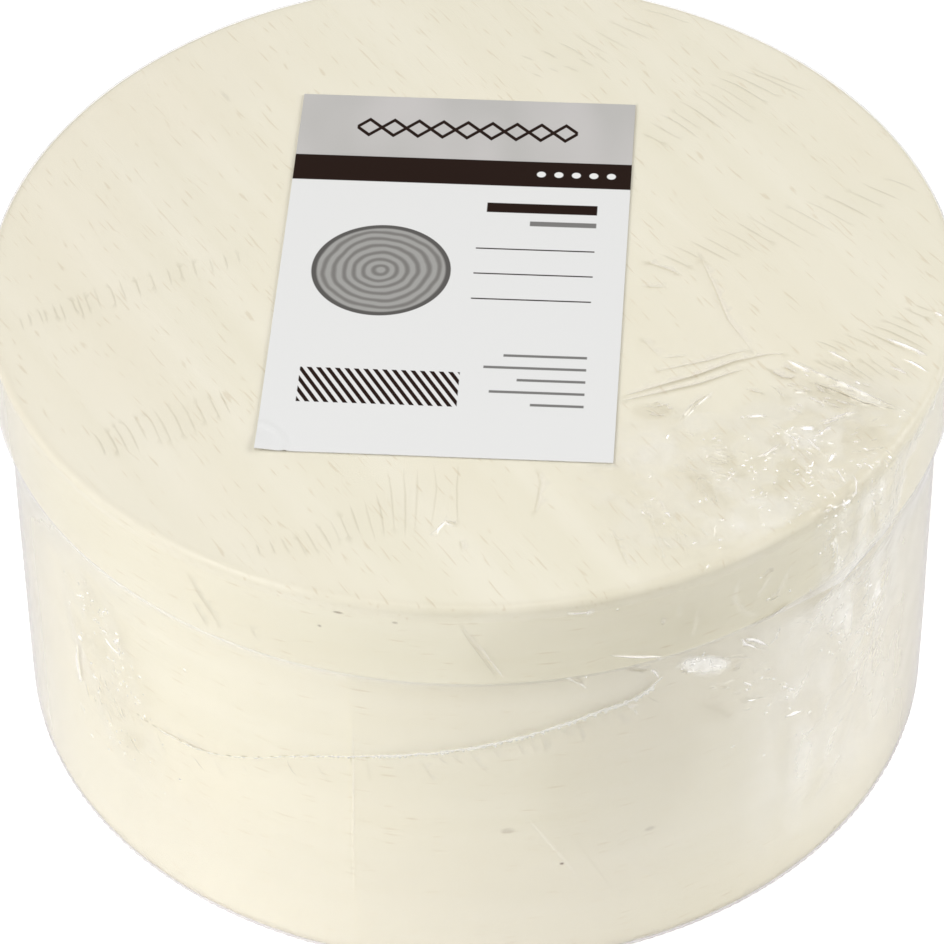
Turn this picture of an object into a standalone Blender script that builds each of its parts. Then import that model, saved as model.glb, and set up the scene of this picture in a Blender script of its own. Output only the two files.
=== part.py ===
"""Three round chipwood boxes nested in each other, closed in clear shrink film, with a paper label.

Lengths are in metres, angles in degrees, +Z is up, and the origin lies on the ground under the middle
of the set. The side with the film's seam faces -Y. Each box is a disc set in a bent and lapped side
band, and its lid is a disc glued on a bent and lapped rim band. The lids, the smaller boxes and the
film's cap lift along +Z, each carried by the piece under it.
"""

import math

import bmesh
import bpy
from mathutils import Matrix, Vector

SET_NAME = "round_chipwood_box_set"

# The large box, which shows through the film.
LARGE_LID_RADIUS = 0.0650
LARGE_HEIGHT = 0.0677
LARGE_RIM_HEIGHT = 0.0134

# The two boxes inside it take their size from the room that they stand in.
MIDDLE_SIDE_PLAY = 0.00605
SMALL_SIDE_PLAY = 0.00105
HEAD_ROOM = 0.0050
MIDDLE_RIM_HEIGHT = 0.0124
SMALL_RIM_HEIGHT = 0.0114

# Wood.
BAND_THICKNESS = 0.0015
BOTTOM_THICKNESS = 0.0022
LID_THICKNESS = 0.0022
LID_EDGE_ROUNDING = 0.0009
BOTTOM_EDGE_CHAMFER = 0.0004

# A band's ends are thinned and glued over each other: each end stands this far off the band.
LAP_LENGTH = 0.022
LAP_STEP = 0.0002
SIDE_LAP_ANGLE = -15.0
RIM_LAP_ANGLE = 160.0
MIDDLE_LAP_TURN = 70.0
SMALL_LAP_TURN = -50.0

# Clearances.
SEAT_GAP = 0.0003
LID_PLAY = 0.00035
FILM_GAP = 0.0003

# Film, with its weld seam.
FILM_THICKNESS = 0.0002
FILM_EDGE_ROUNDING = 0.0014
NECK_DROP = 0.0035
BEAD_RADIUS = 0.0004
SEAM_STEP_ANGLE = 3.0
# The seam's way across the front: the angle from -Y, and the share of the height that it may climb.
SEAM_HEIGHT_SHARES = (
    (-64, 0.80),
    (-58, 0.73),
    (-47, 0.577),
    (-38, 0.571),
    (-30, 0.62),
    (-15, 0.758),
    (-2, 0.816),
    (5, 0.847),
    (12, 0.895),
    (20, 0.96),
    (26, 1.0),
)

# Label.
LABEL_WIDTH = 0.0463
LABEL_LENGTH = 0.0738
LABEL_THICKNESS = 0.00015
LABEL_SHIFT = -0.0027
LABEL_TURN = -4.0

SEGMENTS = 64
ROUNDING_STEPS = 3
MERGE_DISTANCE = 0.00001

# Colour, roughness, metallic value and alpha.
DISC_WOOD = ((0.85, 0.80, 0.67), 0.62, 0.0, 1.0)
BAND_WOOD = ((0.82, 0.76, 0.64), 0.66, 0.0, 1.0)
CLEAR_FILM = ((0.96, 0.97, 0.97), 0.08, 0.0, 0.12)
BEAD_FILM = ((0.93, 0.93, 0.91), 0.25, 0.0, 0.5)
LABEL_PAPER = ((0.80, 0.81, 0.80), 0.55, 0.0, 1.0)


def clear_scene():
    """Removes every object that the scene starts with."""
    for thing in list(bpy.data.objects):
        bpy.data.objects.remove(thing, do_unlink=True)


def new_collection(name):
    """A collection in the scene, for the set's pieces."""
    collection = bpy.data.collections.new(name)
    bpy.context.scene.collection.children.link(collection)
    return collection


def finish_material(name, finish):
    """A piece's own material, from its colour, roughness, metallic value and alpha."""
    colour, roughness, metallic, alpha = finish
    material = bpy.data.materials.new(name + "_finish")
    material.use_nodes = True
    shader = material.node_tree.nodes["Principled BSDF"]
    shader.inputs["Base Color"].default_value = (*colour, 1.0)
    shader.inputs["Roughness"].default_value = roughness
    shader.inputs["Metallic"].default_value = metallic
    shader.inputs["Alpha"].default_value = alpha
    return material


def place(thing, finish, parent, location):
    """Puts an object in the set, under its parent, at a place given in the set's own frame."""
    thing.data.materials.append(finish_material(thing.name, finish))
    PIECES.objects.link(thing)
    thing.parent = parent
    thing.location = Vector(location) - parent_place(parent)


def parent_place(parent):
    """Where a chain of empties puts its last one."""
    total = Vector((0.0, 0.0, 0.0))
    while parent is not None:
        total += parent.location
        parent = parent.parent
    return total


def add_carrier(name, carried_by, height):
    """An empty on the set's axis, which carries the pieces that lift together."""
    carrier = bpy.data.objects.new(name + "_carrier", None)
    PIECES.objects.link(carrier)
    carrier.parent = carried_by
    carrier.location = Vector((0.0, 0.0, height)) - parent_place(carried_by)
    return carrier


def polar(radius, angle, height=0.0):
    """A point at an angle counted from -Y towards +X."""
    return Vector((radius * math.sin(angle), -radius * math.cos(angle), height))


def quarter_arc(centre_x, centre_z, radius):
    """Points of an outer top corner, from straight up to straight out."""
    points = []
    for index in range(ROUNDING_STEPS + 1):
        angle = math.pi / 2 * (1 - index / ROUNDING_STEPS)
        points.append((centre_x + radius * math.cos(angle), centre_z + radius * math.sin(angle)))
    return points


def add_turned(name, profile, finish, parent, height, shell=0.0):
    """A piece turned about Z from a profile that runs down its outer side, solid or a shell."""
    mesh = bpy.data.meshes.new(name)
    edges = [(index, index + 1) for index in range(len(profile) - 1)]
    mesh.from_pydata([(x, 0.0, z) for x, z in profile], edges, [])
    turned = bpy.data.objects.new(name, mesh)
    place(turned, finish, parent, (0.0, 0.0, height))
    screw = turned.modifiers.new("Turn", "SCREW")
    screw.steps = SEGMENTS
    screw.render_steps = SEGMENTS
    screw.use_smooth_shade = True
    screw.use_merge_vertices = True
    screw.merge_threshold = MERGE_DISTANCE
    if shell:
        thicken = turned.modifiers.new("Film thickness", "SOLIDIFY")
        thicken.thickness = shell
        thicken.offset = 1.0
        thicken.use_even_offset = True
    turned.modifiers.new("Normals", "WEIGHTED_NORMAL")
    return turned


def add_disc(name, radius, thickness, finish, parent, height, rounding):
    """A disc on the set's axis, with its top edge rounded and its lower edge square."""
    profile = [(0.0, thickness)]
    profile += quarter_arc(radius - rounding, thickness - rounding, rounding)
    profile += [(radius, 0.0), (0.0, 0.0)]
    return add_turned(name, profile, finish, parent, height)


def add_bottom_disc(name, radius, parent, height):
    """A bottom disc, with a small chamfer round its top edge where it was pushed into the band."""
    chamfer = BOTTOM_EDGE_CHAMFER
    profile = [
        (0.0, BOTTOM_THICKNESS),
        (radius - chamfer, BOTTOM_THICKNESS),
        (radius, BOTTOM_THICKNESS - chamfer),
        (radius, 0.0),
        (0.0, 0.0),
    ]
    return add_turned(name, profile, DISC_WOOD, parent, height)


def lapped_circle(radius, step, edge_angle, direction):
    """One face of a bent band. Its end stands a step off it, and fades into it along the lap."""
    lap_turn = LAP_LENGTH / radius
    points = []
    for index in range(SEGMENTS + 1):
        turn = math.tau * index / SEGMENTS
        rise = max(0.0, 1.0 - turn / lap_turn)
        points.append(polar(radius + step * rise, edge_angle + direction * turn))
    return points


def add_band(name, radius, height, parent, base, lap_angle):
    """A strip bent round to this outer radius and glued on itself, from its outline."""
    inner_radius = radius - BAND_THICKNESS
    outer_end = math.radians(lap_angle)
    inner_end = outer_end + LAP_LENGTH / radius
    faces = (
        lapped_circle(radius, LAP_STEP, outer_end, 1),
        lapped_circle(inner_radius, -LAP_STEP, inner_end, -1),
    )
    outline = bpy.data.curves.new(name, "CURVE")
    outline.dimensions = "2D"
    outline.fill_mode = "BOTH"
    outline.extrude = height / 2
    for points in faces:
        spline = outline.splines.new("POLY")
        spline.points.add(len(points) - 1)
        spline.use_cyclic_u = True
        for slot, point in zip(spline.points, points):
            slot.co = (point.x, point.y, 0.0, 1.0)
    band = bpy.data.objects.new(name, outline)
    place(band, BAND_WOOD, parent, (0.0, 0.0, base + height / 2))
    return band


class Box:
    """The sizes of one box with its lid on, worked out from where it stands and what it may fill."""

    def __init__(self, name, base, height, lid_radius, rim_height, lap_turn):
        self.name = name
        self.base = base
        self.top = base + height
        self.lid_radius = lid_radius
        self.rim_height = rim_height
        self.rim_bottom = self.top - rim_height
        self.lap_turn = lap_turn
        self.lid_underside = self.top - LID_THICKNESS
        self.band_top = self.lid_underside - SEAT_GAP
        self.side_radius = lid_radius - BAND_THICKNESS - LAP_STEP - LID_PLAY
        self.room_radius = self.side_radius - BAND_THICKNESS - LAP_STEP
        self.floor = base + BOTTOM_THICKNESS

    def nested(self, name, side_play, rim_height, lap_turn):
        """The box that stands in this one."""
        base = self.floor + SEAT_GAP
        height = self.lid_underside - HEAD_ROOM - base
        lid_radius = self.room_radius - side_play - LAP_STEP
        return Box(name, base, height, lid_radius, rim_height, lap_turn)


def add_box(box, carrier):
    """The bottom disc and side band of a box."""
    add_bottom_disc(box.name + "_bottom_disc", box.room_radius - SEAT_GAP, carrier, box.base)
    add_band(
        box.name + "_side_band",
        box.side_radius,
        box.band_top - box.base,
        carrier,
        box.base,
        SIDE_LAP_ANGLE + box.lap_turn,
    )


def add_lid(box, carrier):
    """The disc and rim band of a box's lid."""
    add_disc(
        box.name + "_lid_disc",
        box.lid_radius,
        LID_THICKNESS,
        DISC_WOOD,
        carrier,
        box.lid_underside,
        LID_EDGE_ROUNDING,
    )
    add_band(
        box.name + "_lid_band",
        box.lid_radius,
        box.band_top - box.rim_bottom,
        carrier,
        box.rim_bottom,
        RIM_LAP_ANGLE + box.lap_turn,
    )


def add_film_cap(box, carrier):
    """The film over the lid, down to the lower edge of its rim, where a pack is slit open."""
    radius = box.lid_radius + LAP_STEP + FILM_GAP
    top = box.top + FILM_GAP - box.rim_bottom
    corner = FILM_EDGE_ROUNDING
    profile = [(0.0, top)]
    profile += quarter_arc(radius - corner, top - corner, corner)
    profile += [(radius, 0.0)]
    add_turned("film_cap", profile, CLEAR_FILM, carrier, box.rim_bottom, shell=FILM_THICKNESS)


def film_side_radius(box):
    """The inner radius of the film where it lies along a box's side."""
    return box.side_radius + LAP_STEP + FILM_GAP


def add_film_side(box, carrier):
    """The film round the side, drawn in under the rim, and the flat film below."""
    radius = film_side_radius(box)
    neck_top = neck_bottom(box) + NECK_DROP - box.base
    neck_mouth = box.lid_radius
    profile = [
        (neck_mouth, neck_top),
        ((neck_mouth + radius) / 2, neck_top - NECK_DROP / 3),
        (radius, neck_top - NECK_DROP),
        (radius, 0.0),
    ]
    add_turned("film_side_sleeve", profile, CLEAR_FILM, carrier, box.base, shell=FILM_THICKNESS)
    reach = radius + FILM_THICKNESS
    sheet = [(0.0, FILM_THICKNESS), (reach, FILM_THICKNESS), (reach, 0.0), (0.0, 0.0)]
    add_turned("film_bottom_sheet", sheet, CLEAR_FILM, carrier, 0.0)


def neck_bottom(box):
    """Where the film reaches the side, under the rim."""
    return box.rim_bottom - SEAT_GAP - FILM_THICKNESS - NECK_DROP


def smooth_value(table, at):
    """The value of a smooth curve through a table's points, with level-keeping tangents."""
    last = len(table) - 2
    index = next((i for i in range(last + 1) if at <= table[i + 1][0]), last)
    before, here, there, after = (table[min(max(index + k, 0), last + 1)] for k in (-1, 0, 1, 2))
    span = there[0] - here[0]
    share = (at - here[0]) / span
    leaving = span * (there[1] - before[1]) / (there[0] - before[0])
    arriving = span * (after[1] - here[1]) / (after[0] - here[0])
    square = share * share
    cube = square * share
    return (
        here[1] * (2 * cube - 3 * square + 1)
        + leaving * (cube - 2 * square + share)
        + there[1] * (3 * square - 2 * cube)
        + arriving * (cube - square)
    )


def add_seam(box, carrier):
    """The weld seam's bead, which stands on the film and crosses the front."""
    radius = film_side_radius(box) + FILM_THICKNESS + SEAT_GAP + BEAD_RADIUS
    climb = neck_bottom(box) - SEAT_GAP - BEAD_RADIUS - box.base
    first = SEAM_HEIGHT_SHARES[0][0]
    last = SEAM_HEIGHT_SHARES[-1][0]
    count = round((last - first) / SEAM_STEP_ANGLE)
    bead = bpy.data.curves.new("film_seal_bead", "CURVE")
    bead.dimensions = "3D"
    bead.bevel_depth = BEAD_RADIUS
    bead.bevel_resolution = 1
    bead.use_fill_caps = True
    spline = bead.splines.new("POLY")
    spline.points.add(count)
    for index, slot in enumerate(spline.points):
        angle = first + (last - first) * index / count
        height = climb * smooth_value(SEAM_HEIGHT_SHARES, angle)
        slot.co = (*polar(radius, math.radians(angle), height), 1.0)
    seam = bpy.data.objects.new("film_seal_bead", bead)
    place(seam, BEAD_FILM, carrier, (0.0, 0.0, box.base))


def add_label(box, carrier):
    """The paper label, laid on the film over the lid and turned a little."""
    mesh = bpy.data.meshes.new("label")
    slab = bmesh.new()
    bmesh.ops.create_cube(slab, size=1.0)
    size = Matrix.Diagonal((LABEL_WIDTH, LABEL_LENGTH, LABEL_THICKNESS, 1.0))
    bmesh.ops.transform(slab, matrix=size, verts=slab.verts)
    slab.to_mesh(mesh)
    slab.free()
    label = bpy.data.objects.new("label", mesh)
    film_top = box.top + FILM_GAP + FILM_THICKNESS
    place(label, LABEL_PAPER, carrier, (LABEL_SHIFT, 0.0, film_top + SEAT_GAP + LABEL_THICKNESS / 2))
    label.rotation_euler = (0.0, 0.0, math.radians(LABEL_TURN))


clear_scene()
PIECES = new_collection(SET_NAME)

large = Box(
    "large", FILM_THICKNESS + SEAT_GAP, LARGE_HEIGHT, LARGE_LID_RADIUS, LARGE_RIM_HEIGHT, 0.0
)
middle = large.nested("middle", MIDDLE_SIDE_PLAY, MIDDLE_RIM_HEIGHT, MIDDLE_LAP_TURN)
small = middle.nested("small", SMALL_SIDE_PLAY, SMALL_RIM_HEIGHT, SMALL_LAP_TURN)

large_box = add_carrier("large_box", None, large.base)
middle_box = add_carrier("middle_box", large_box, middle.base)
small_box = add_carrier("small_box", middle_box, small.base)
small_lid = add_carrier("small_lid", small_box, small.rim_bottom)
middle_lid = add_carrier("middle_lid", small_lid, middle.rim_bottom)
large_lid = add_carrier("large_lid", middle_lid, large.rim_bottom)
film_top = add_carrier("film_cap", large_lid, large.rim_bottom)

for box, box_carrier, lid_carrier in (
    (large, large_box, large_lid),
    (middle, middle_box, middle_lid),
    (small, small_box, small_lid),
):
    add_box(box, box_carrier)
    add_lid(box, lid_carrier)

add_film_side(large, large_box)
add_seam(large, large_box)
add_film_cap(large, film_top)
add_label(large, film_top)
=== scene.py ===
import math
import random

import bmesh
import bpy
from mathutils import Matrix, Vector, geometry, kdtree, noise


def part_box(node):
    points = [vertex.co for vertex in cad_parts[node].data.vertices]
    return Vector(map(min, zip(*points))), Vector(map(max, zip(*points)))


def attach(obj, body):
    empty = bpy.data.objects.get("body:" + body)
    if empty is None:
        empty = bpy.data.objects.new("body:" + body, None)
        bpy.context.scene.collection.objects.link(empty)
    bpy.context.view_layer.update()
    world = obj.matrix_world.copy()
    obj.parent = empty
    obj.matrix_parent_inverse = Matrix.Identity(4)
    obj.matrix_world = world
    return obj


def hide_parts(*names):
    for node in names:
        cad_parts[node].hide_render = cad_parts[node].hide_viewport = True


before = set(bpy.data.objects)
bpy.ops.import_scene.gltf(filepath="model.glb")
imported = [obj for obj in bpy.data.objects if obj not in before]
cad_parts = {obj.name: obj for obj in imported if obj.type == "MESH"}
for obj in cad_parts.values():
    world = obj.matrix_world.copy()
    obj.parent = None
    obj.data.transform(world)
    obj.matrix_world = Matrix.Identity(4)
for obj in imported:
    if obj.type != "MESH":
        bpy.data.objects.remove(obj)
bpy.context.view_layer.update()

# Lengths are in millimetres and angles in degrees, counted from -Y towards +X, except where a comment
# says otherwise.
MM = 0.001
UP = Vector((0, 0, 1))
WHITE = (1, 1, 1, 1)


# Small helpers.


def node_box(node):
    """A CAD node's lowest and highest corners, in millimetres."""
    low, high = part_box(node)
    return low / MM, high / MM


def lerp(a, b, share):
    """A value between two values or two points."""
    return a + (b - a) * share


def smooth(low, high, value):
    """0 below low, 1 above high, and a smooth step between them."""
    share = min(1.0, max(0.0, (value - low) / (high - low)))
    return share * share * (3 - 2 * share)


def window(low, low_full, high_full, high, value):
    """1 between the two middle values, 0 outside the outer two, and smooth steps between."""
    return smooth(low, low_full, value) * smooth(high, high_full, value)


def polar(radius, angle, z=0.0):
    """A point at an angle round the middle."""
    turn = math.radians(angle)
    return Vector((radius * math.sin(turn), -radius * math.cos(turn), z))


def heading(angle):
    """A step of 1 on a flattened sheet, at an angle from its X axis."""
    turn = math.radians(angle)
    return Vector((math.cos(turn), math.sin(turn)))


def from_centre(spot, centre, turn):
    """A place as seen from a centre, along axes that are turned."""
    away = Vector(spot) - Vector(centre)
    away.rotate(Matrix.Rotation(math.radians(-turn), 2))
    return away


def srgb(red, green, blue):
    """A linear colour from display values of 0 to 255."""
    values = []
    for part in (red, green, blue):
        share = part / 255
        values.append(share / 12.92 if share <= 0.04045 else ((share + 0.055) / 1.055) ** 2.4)
    return (*values, 1.0)


def tinted(colour, red, green, blue):
    """A colour with its three parts scaled."""
    return (colour[0] * red, colour[1] * green, colour[2] * blue, 1)


def shade(thing, sharp):
    """Shades a piece smooth but for its edges that are sharper than an angle."""
    thing.data.shade_smooth()
    thing.data.set_sharp_from_angle(angle=math.radians(sharp))


def new_object(name, verts, faces, sharp=35):
    """A mesh object from points in millimetres."""
    mesh = bpy.data.meshes.new(name)
    mesh.from_pydata([tuple(Vector(v) * MM) for v in verts], [], faces)
    mesh.validate()
    thing = bpy.data.objects.new(name, mesh)
    bpy.context.scene.collection.objects.link(thing)
    shade(thing, sharp)
    return thing


def weld(shell, reach):
    """Joins the points of a mesh that are closer together than this."""
    bmesh.ops.remove_doubles(shell, verts=shell.verts, dist=reach * MM)


def reshape(thing, change=None):
    """Lets a function change a piece's mesh, and turns its faces outwards."""
    shell = bmesh.new()
    shell.from_mesh(thing.data)
    if change:
        change(shell)
    bmesh.ops.recalc_face_normals(shell, faces=shell.faces)
    shell.to_mesh(thing.data)
    shell.free()


def dress(thing, material, body, slot, *nodes):
    """Gives a piece its material and its body, and hides the CAD nodes that it stands for. The slot is
    not used.
    """
    thing.data.materials.clear()
    thing.data.materials.append(material)
    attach(thing, body)
    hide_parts(*nodes)
    return thing


# Sizes of the wood.
LID_LOW, LID_HIGH = node_box("large_lid_disc")
LID_RADIUS = (LID_HIGH.x - LID_LOW.x) / 2
LID_TOP = LID_HIGH.z
RIM_LOW = node_box("large_lid_band")[0].z
LID_ROUNDING = 1.0
LID_PLAY = 0.35
BAND_THICKNESS = 1.5
BAND_COLUMNS = 300
BAND_EDGE = 0.3
BAND_SHARP = 50
BAND_WELD = 0.002
LAP_LENGTH = 22
LAP_STEP = 0.2
DISC_RINGS = (0.25, 0.5, 0.75, 0.9, 0.97)
# Roundings of the discs' upper and lower edges, and lips of the bands' lower and upper edges.
LID_EDGES, BOTTOM_EDGES = (LID_ROUNDING, 0.01), (0.4, 0.3)
RIM_LIPS, SIDE_LIPS = (0.35, 0.01), (0.12, 0.35)
SIDE_DROP = 0.2
GRAIN_ANGLE, GRAIN_DEPTH = -59, 0.02
# Each box of the set from the outside in: its size, its bodies and where its laps lie.
SETS = (
    ("large", "large_box", "large_lid", -15, 160),
    ("middle", "middle_box", "middle_lid", 55, 230),
    ("small", "small_box", "small_lid", -65, 110),
)
DISC_COLOUR = srgb(235, 230, 212)
BAND_COLOUR = srgb(234, 229, 209)
SPECK_COLOUR = (0.16, 0.10, 0.05, 1)
# Specks in the wood: along the grain, across it, half length, half width and depth.
DISC_SPECKS = ((-50.6, -9.6, 1.6, 0.42, 0.12),)
BAND_SPECKS = (
    (209.4, 10.6, 0.75, 0.26, 0.6), (206.9, 7.6, 0.32, 0.25, 0.5), (216.7, 10.2, 0.45, 0.25, 0.4),
    (20.3, 25.4, 1.1, 0.65, 0.24), (39.6, 21.2, 0.9, 0.5, 0.26), (27.5, 18.1, 0.36, 0.28, 0.9),
    (72.5, 0.7, 0.4, 0.3, 0.4),
)
# Where the long strips start and end paler: from and to, in metres, and how pale they are there.
PALE_START = (0, 0.018, 1.032, 1)
PALE_END = (0.358, 0.376, 1, 1.045)

# Sizes of the film. The marks that each of its points carries go from 0 to 1.
# Besides the film's folds, the dark mark carries painted shade and the bright mark painted light.
MARK_NAMES = ("dark", "milky", "bright")
CLEAR = Vector((0, 0, 0))
# How close together its points are, and their rows, jitter and clearance as shares of that.
SPACINGS = (0.42, 1.3, 2.4)
FILL_ROW, FILL_JITTER, FILL_CLEARANCE = 0.866, 0.18, 0.6
# How gathered the film is where its points are closest, and how far rows of points stay from a hem.
GATHERED = 0.12
HEM_GAP = 0.5
FOLD_STEP = 1.6
GLINT_WIDENING = 1.25
BLOB_EDGE = (0.62, 1.08)
FILM_THICKNESS = 0.05
FILM_SHARP = 24
FILM_WELD = 0.01

# The cap, flattened from the lid's middle outwards: over the top, round its edge, down the rim.
FILM_GAP = 0.14
FILM_ROUNDING = LID_ROUNDING + FILM_GAP
CAP_GLEAM = 0.55
CAP_ROWS = 8
CAP_FLAT = LID_RADIUS - LID_ROUNDING
CAP_ARC = FILM_ROUNDING * math.pi / 2
CAP_RADIUS = LID_RADIUS + FILM_GAP
CAP_TOP = LID_TOP + FILM_GAP
CAP_FACE = CAP_FLAT + CAP_ARC + CAP_TOP - FILM_ROUNDING
CAP_REACH = CAP_FACE - RIM_LOW - 0.1

# The sleeve, flattened from its foot upwards: round the foot, up the side, out at the neck.
SIDE_RADIUS = node_box("film_bottom_sheet")[1].x - 0.7
SIDE_FILM_RADIUS = SIDE_RADIUS + LAP_STEP + 0.1
SIDE_GLEAM = 0.75
SIDE_COLUMNS = 260
SIDE_ROWS = 4
SIDE_ROUNDING = 0.25
SIDE_ARC = SIDE_ROUNDING * math.pi / 2
SIDE_FOOT = 0.1
SIDE_START = SIDE_FOOT + SIDE_ROUNDING
NECK_LENGTH = 5
NECK_LIP = 0.35
NECK_FLARE = 0.6
NECK_START = RIM_LOW - 0.5 - NECK_LENGTH
SIDE_REACH = SIDE_ARC + NECK_START - SIDE_START + NECK_LENGTH + NECK_LIP
HALF_ROUND = math.pi * SIDE_FILM_RADIUS
# How far rows of points stay from the sleeve's open seam at the back and from its rounded foot.
SEAM_GAP, FOOT_GAP = 0.6, 0.3

# The flat film under the bottom: its rings as shares of its radius.
BOTTOM_RINGS = (0.2, 0.4, 0.6, 0.75, 0.88, 0.96, 1)
BOTTOM_STEPS = 192
BOTTOM_HEIGHT = 0.06

# The weld seam: angles with the heights where it runs.
SEAM = (
    (-64, 40), (-58, 36.5), (-48, 30.6), (-42, 29.9), (-35, 30.4), (-28, 33.1), (-21, 36.6),
    (-14.5, 38.7), (-9, 40.1), (-1, 42), (6, 44), (14.5, 46.6), (19, 47.6), (22, 50),
)
# Its bead: where it starts, its steps, its corners, the one that carries the teeth, and how far it
# stands off the film.
BEAD_START = -42
BEAD_STEP = 0.34
BEAD_CORNERS = 7
BEAD_TOOTH = 5
BEAD_STANDOFF = 0.3

# The label: its middle on the lid, its turn and its paper.
LABEL_CENTRE = Vector((-2.7, 0))
LABEL_TURN = -4
LABEL_WIDTH, LABEL_LENGTH = 46.3, 73.8
LABEL_COLUMNS, LABEL_ROWS = 116, 148
LABEL_THICKNESS, PAPER_DEPTH = 0.11, 0.01
LABEL_SINK, LABEL_GAP = -0.09, 0.02

# Darker and paler patches in the cap's gathered corner: centre, reach, turn, and how dark it is or
# how pale (below 0).
LID_SHADES = (
    ((23, -28.8), 3, 1.6, -8, 0.13), ((28.7, -41.9), 1.8, 4.2, 12, 0.09),
    ((40, -40.8), 2, 3.2, 0, 0.09), ((50.3, -35.6), 3.8, 2.6, 30, 0.12),
    ((44.5, -25), 6.5, 1.6, -38, 0.07), ((31.5, -38.6), 2.6, 1.6, 0, 0.08),
    ((42.2, -34.6), 2.8, 2.2, -30, -0.22), ((34.6, -36.8), 2, 2.6, 0, -0.06),
    ((22.3, -36.8), 4.2, 5, 0, -0.1), ((36, -48.8), 5, 3.6, 30, -0.1),
    ((47.8, -24.7), 2.6, 0.8, -38, -0.03), ((51.6, -27.3), 2.4, 0.9, -38, -0.04),
    ((29.4, -31.2), 3.4, 2.2, 20, -0.07), ((46.5, -25.6), 3.6, 0.8, -38, 0.1),
)
# Paler patches of film on the rim and on the side: angle, height, reach and how pale.
RIM_SHADES = (
    (58.7, 56.6, 0.8, 2, 0.32), (44.6, 61.5, 0.5, 1.5, 0.24), (45.2, 57.4, 0.7, 2.2, 0.14),
    (51.6, 64.4, 3.2, 2, 0.1), (50.8, 57, 2.4, 2.6, 0.06),
)
SIDE_SHADES = (
    (56.7, 42.1, 1, 1.9, 0.42), (48, 46.3, 3, 4.6, 0.09), (50.2, 42.6, 1, 3.2, 0.1),
    (47, 50.6, 1.3, 2.2, 0.08), (62, 36, 1.6, 6, 0.05), (40.5, 36.8, 3.2, 2.2, 0.06),
)
# Bands of parallel creases on the lid: how many and how dark, then where the first, the middle and
# the last crease start and end.
LID_CREASES = (
    (20, 0.32, (-60.4, -8.3, -59.3, -11.8), (-50.2, -2.2, -48.2, -8.9), (-31.9, 5.6, -30.8, 0.8)),
    (12, 0.36, (-49.6, -31.4, -47, -37.2), (-42.7, -26.7, -39.4, -34.6), (-33.3, -23.3, -30.8, -30.5)),
    (11, 0.28, (-27.6, -52.2, -26.8, -55.1), (-20.6, -49, -17.8, -55.3), (-12.8, -43.2, -11.5, -52.1)),
    (6, 0.3, (-11.1, -39, -10.1, -51.4), (-6.5, -38, -7.2, -52.1), (0.7, -37.7, 0.8, -48.6)),
    (8, 0.34, (7, 46.9, 9.9, 45), (15.8, 52.1, 21.3, 46.4), (24.2, 57.3, 31.5, 53.6)),
    (5, 0.26, (8.3, 42.6, 10.6, 41), (12.6, 44.8, 15.4, 42.9), (16.9, 47.4, 19.6, 44.2)),
    (12, 0.36, (23.1, 29.8, 27.7, 25.6), (31, 38.8, 37.9, 30.5), (38.8, 44.1, 48.4, 37.6)),
    (14, 0.36, (24.7, 3.4, 30, -0.6), (38.2, 11.8, 46.2, 3.9), (55.8, 18.8, 61.9, 14.9)),
    (9, 0.42, (44.9, -15, 48.7, -17.5), (52.1, -11.9, 59.9, -17.7), (58.6, -7.4, 62, -9.7)),
    (8, 0.36, (44.3, -18.6, 49.1, -22.2), (48, -19.1, 52.8, -25), (53.3, -17.6, 57.5, -23.2)),
)
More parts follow.
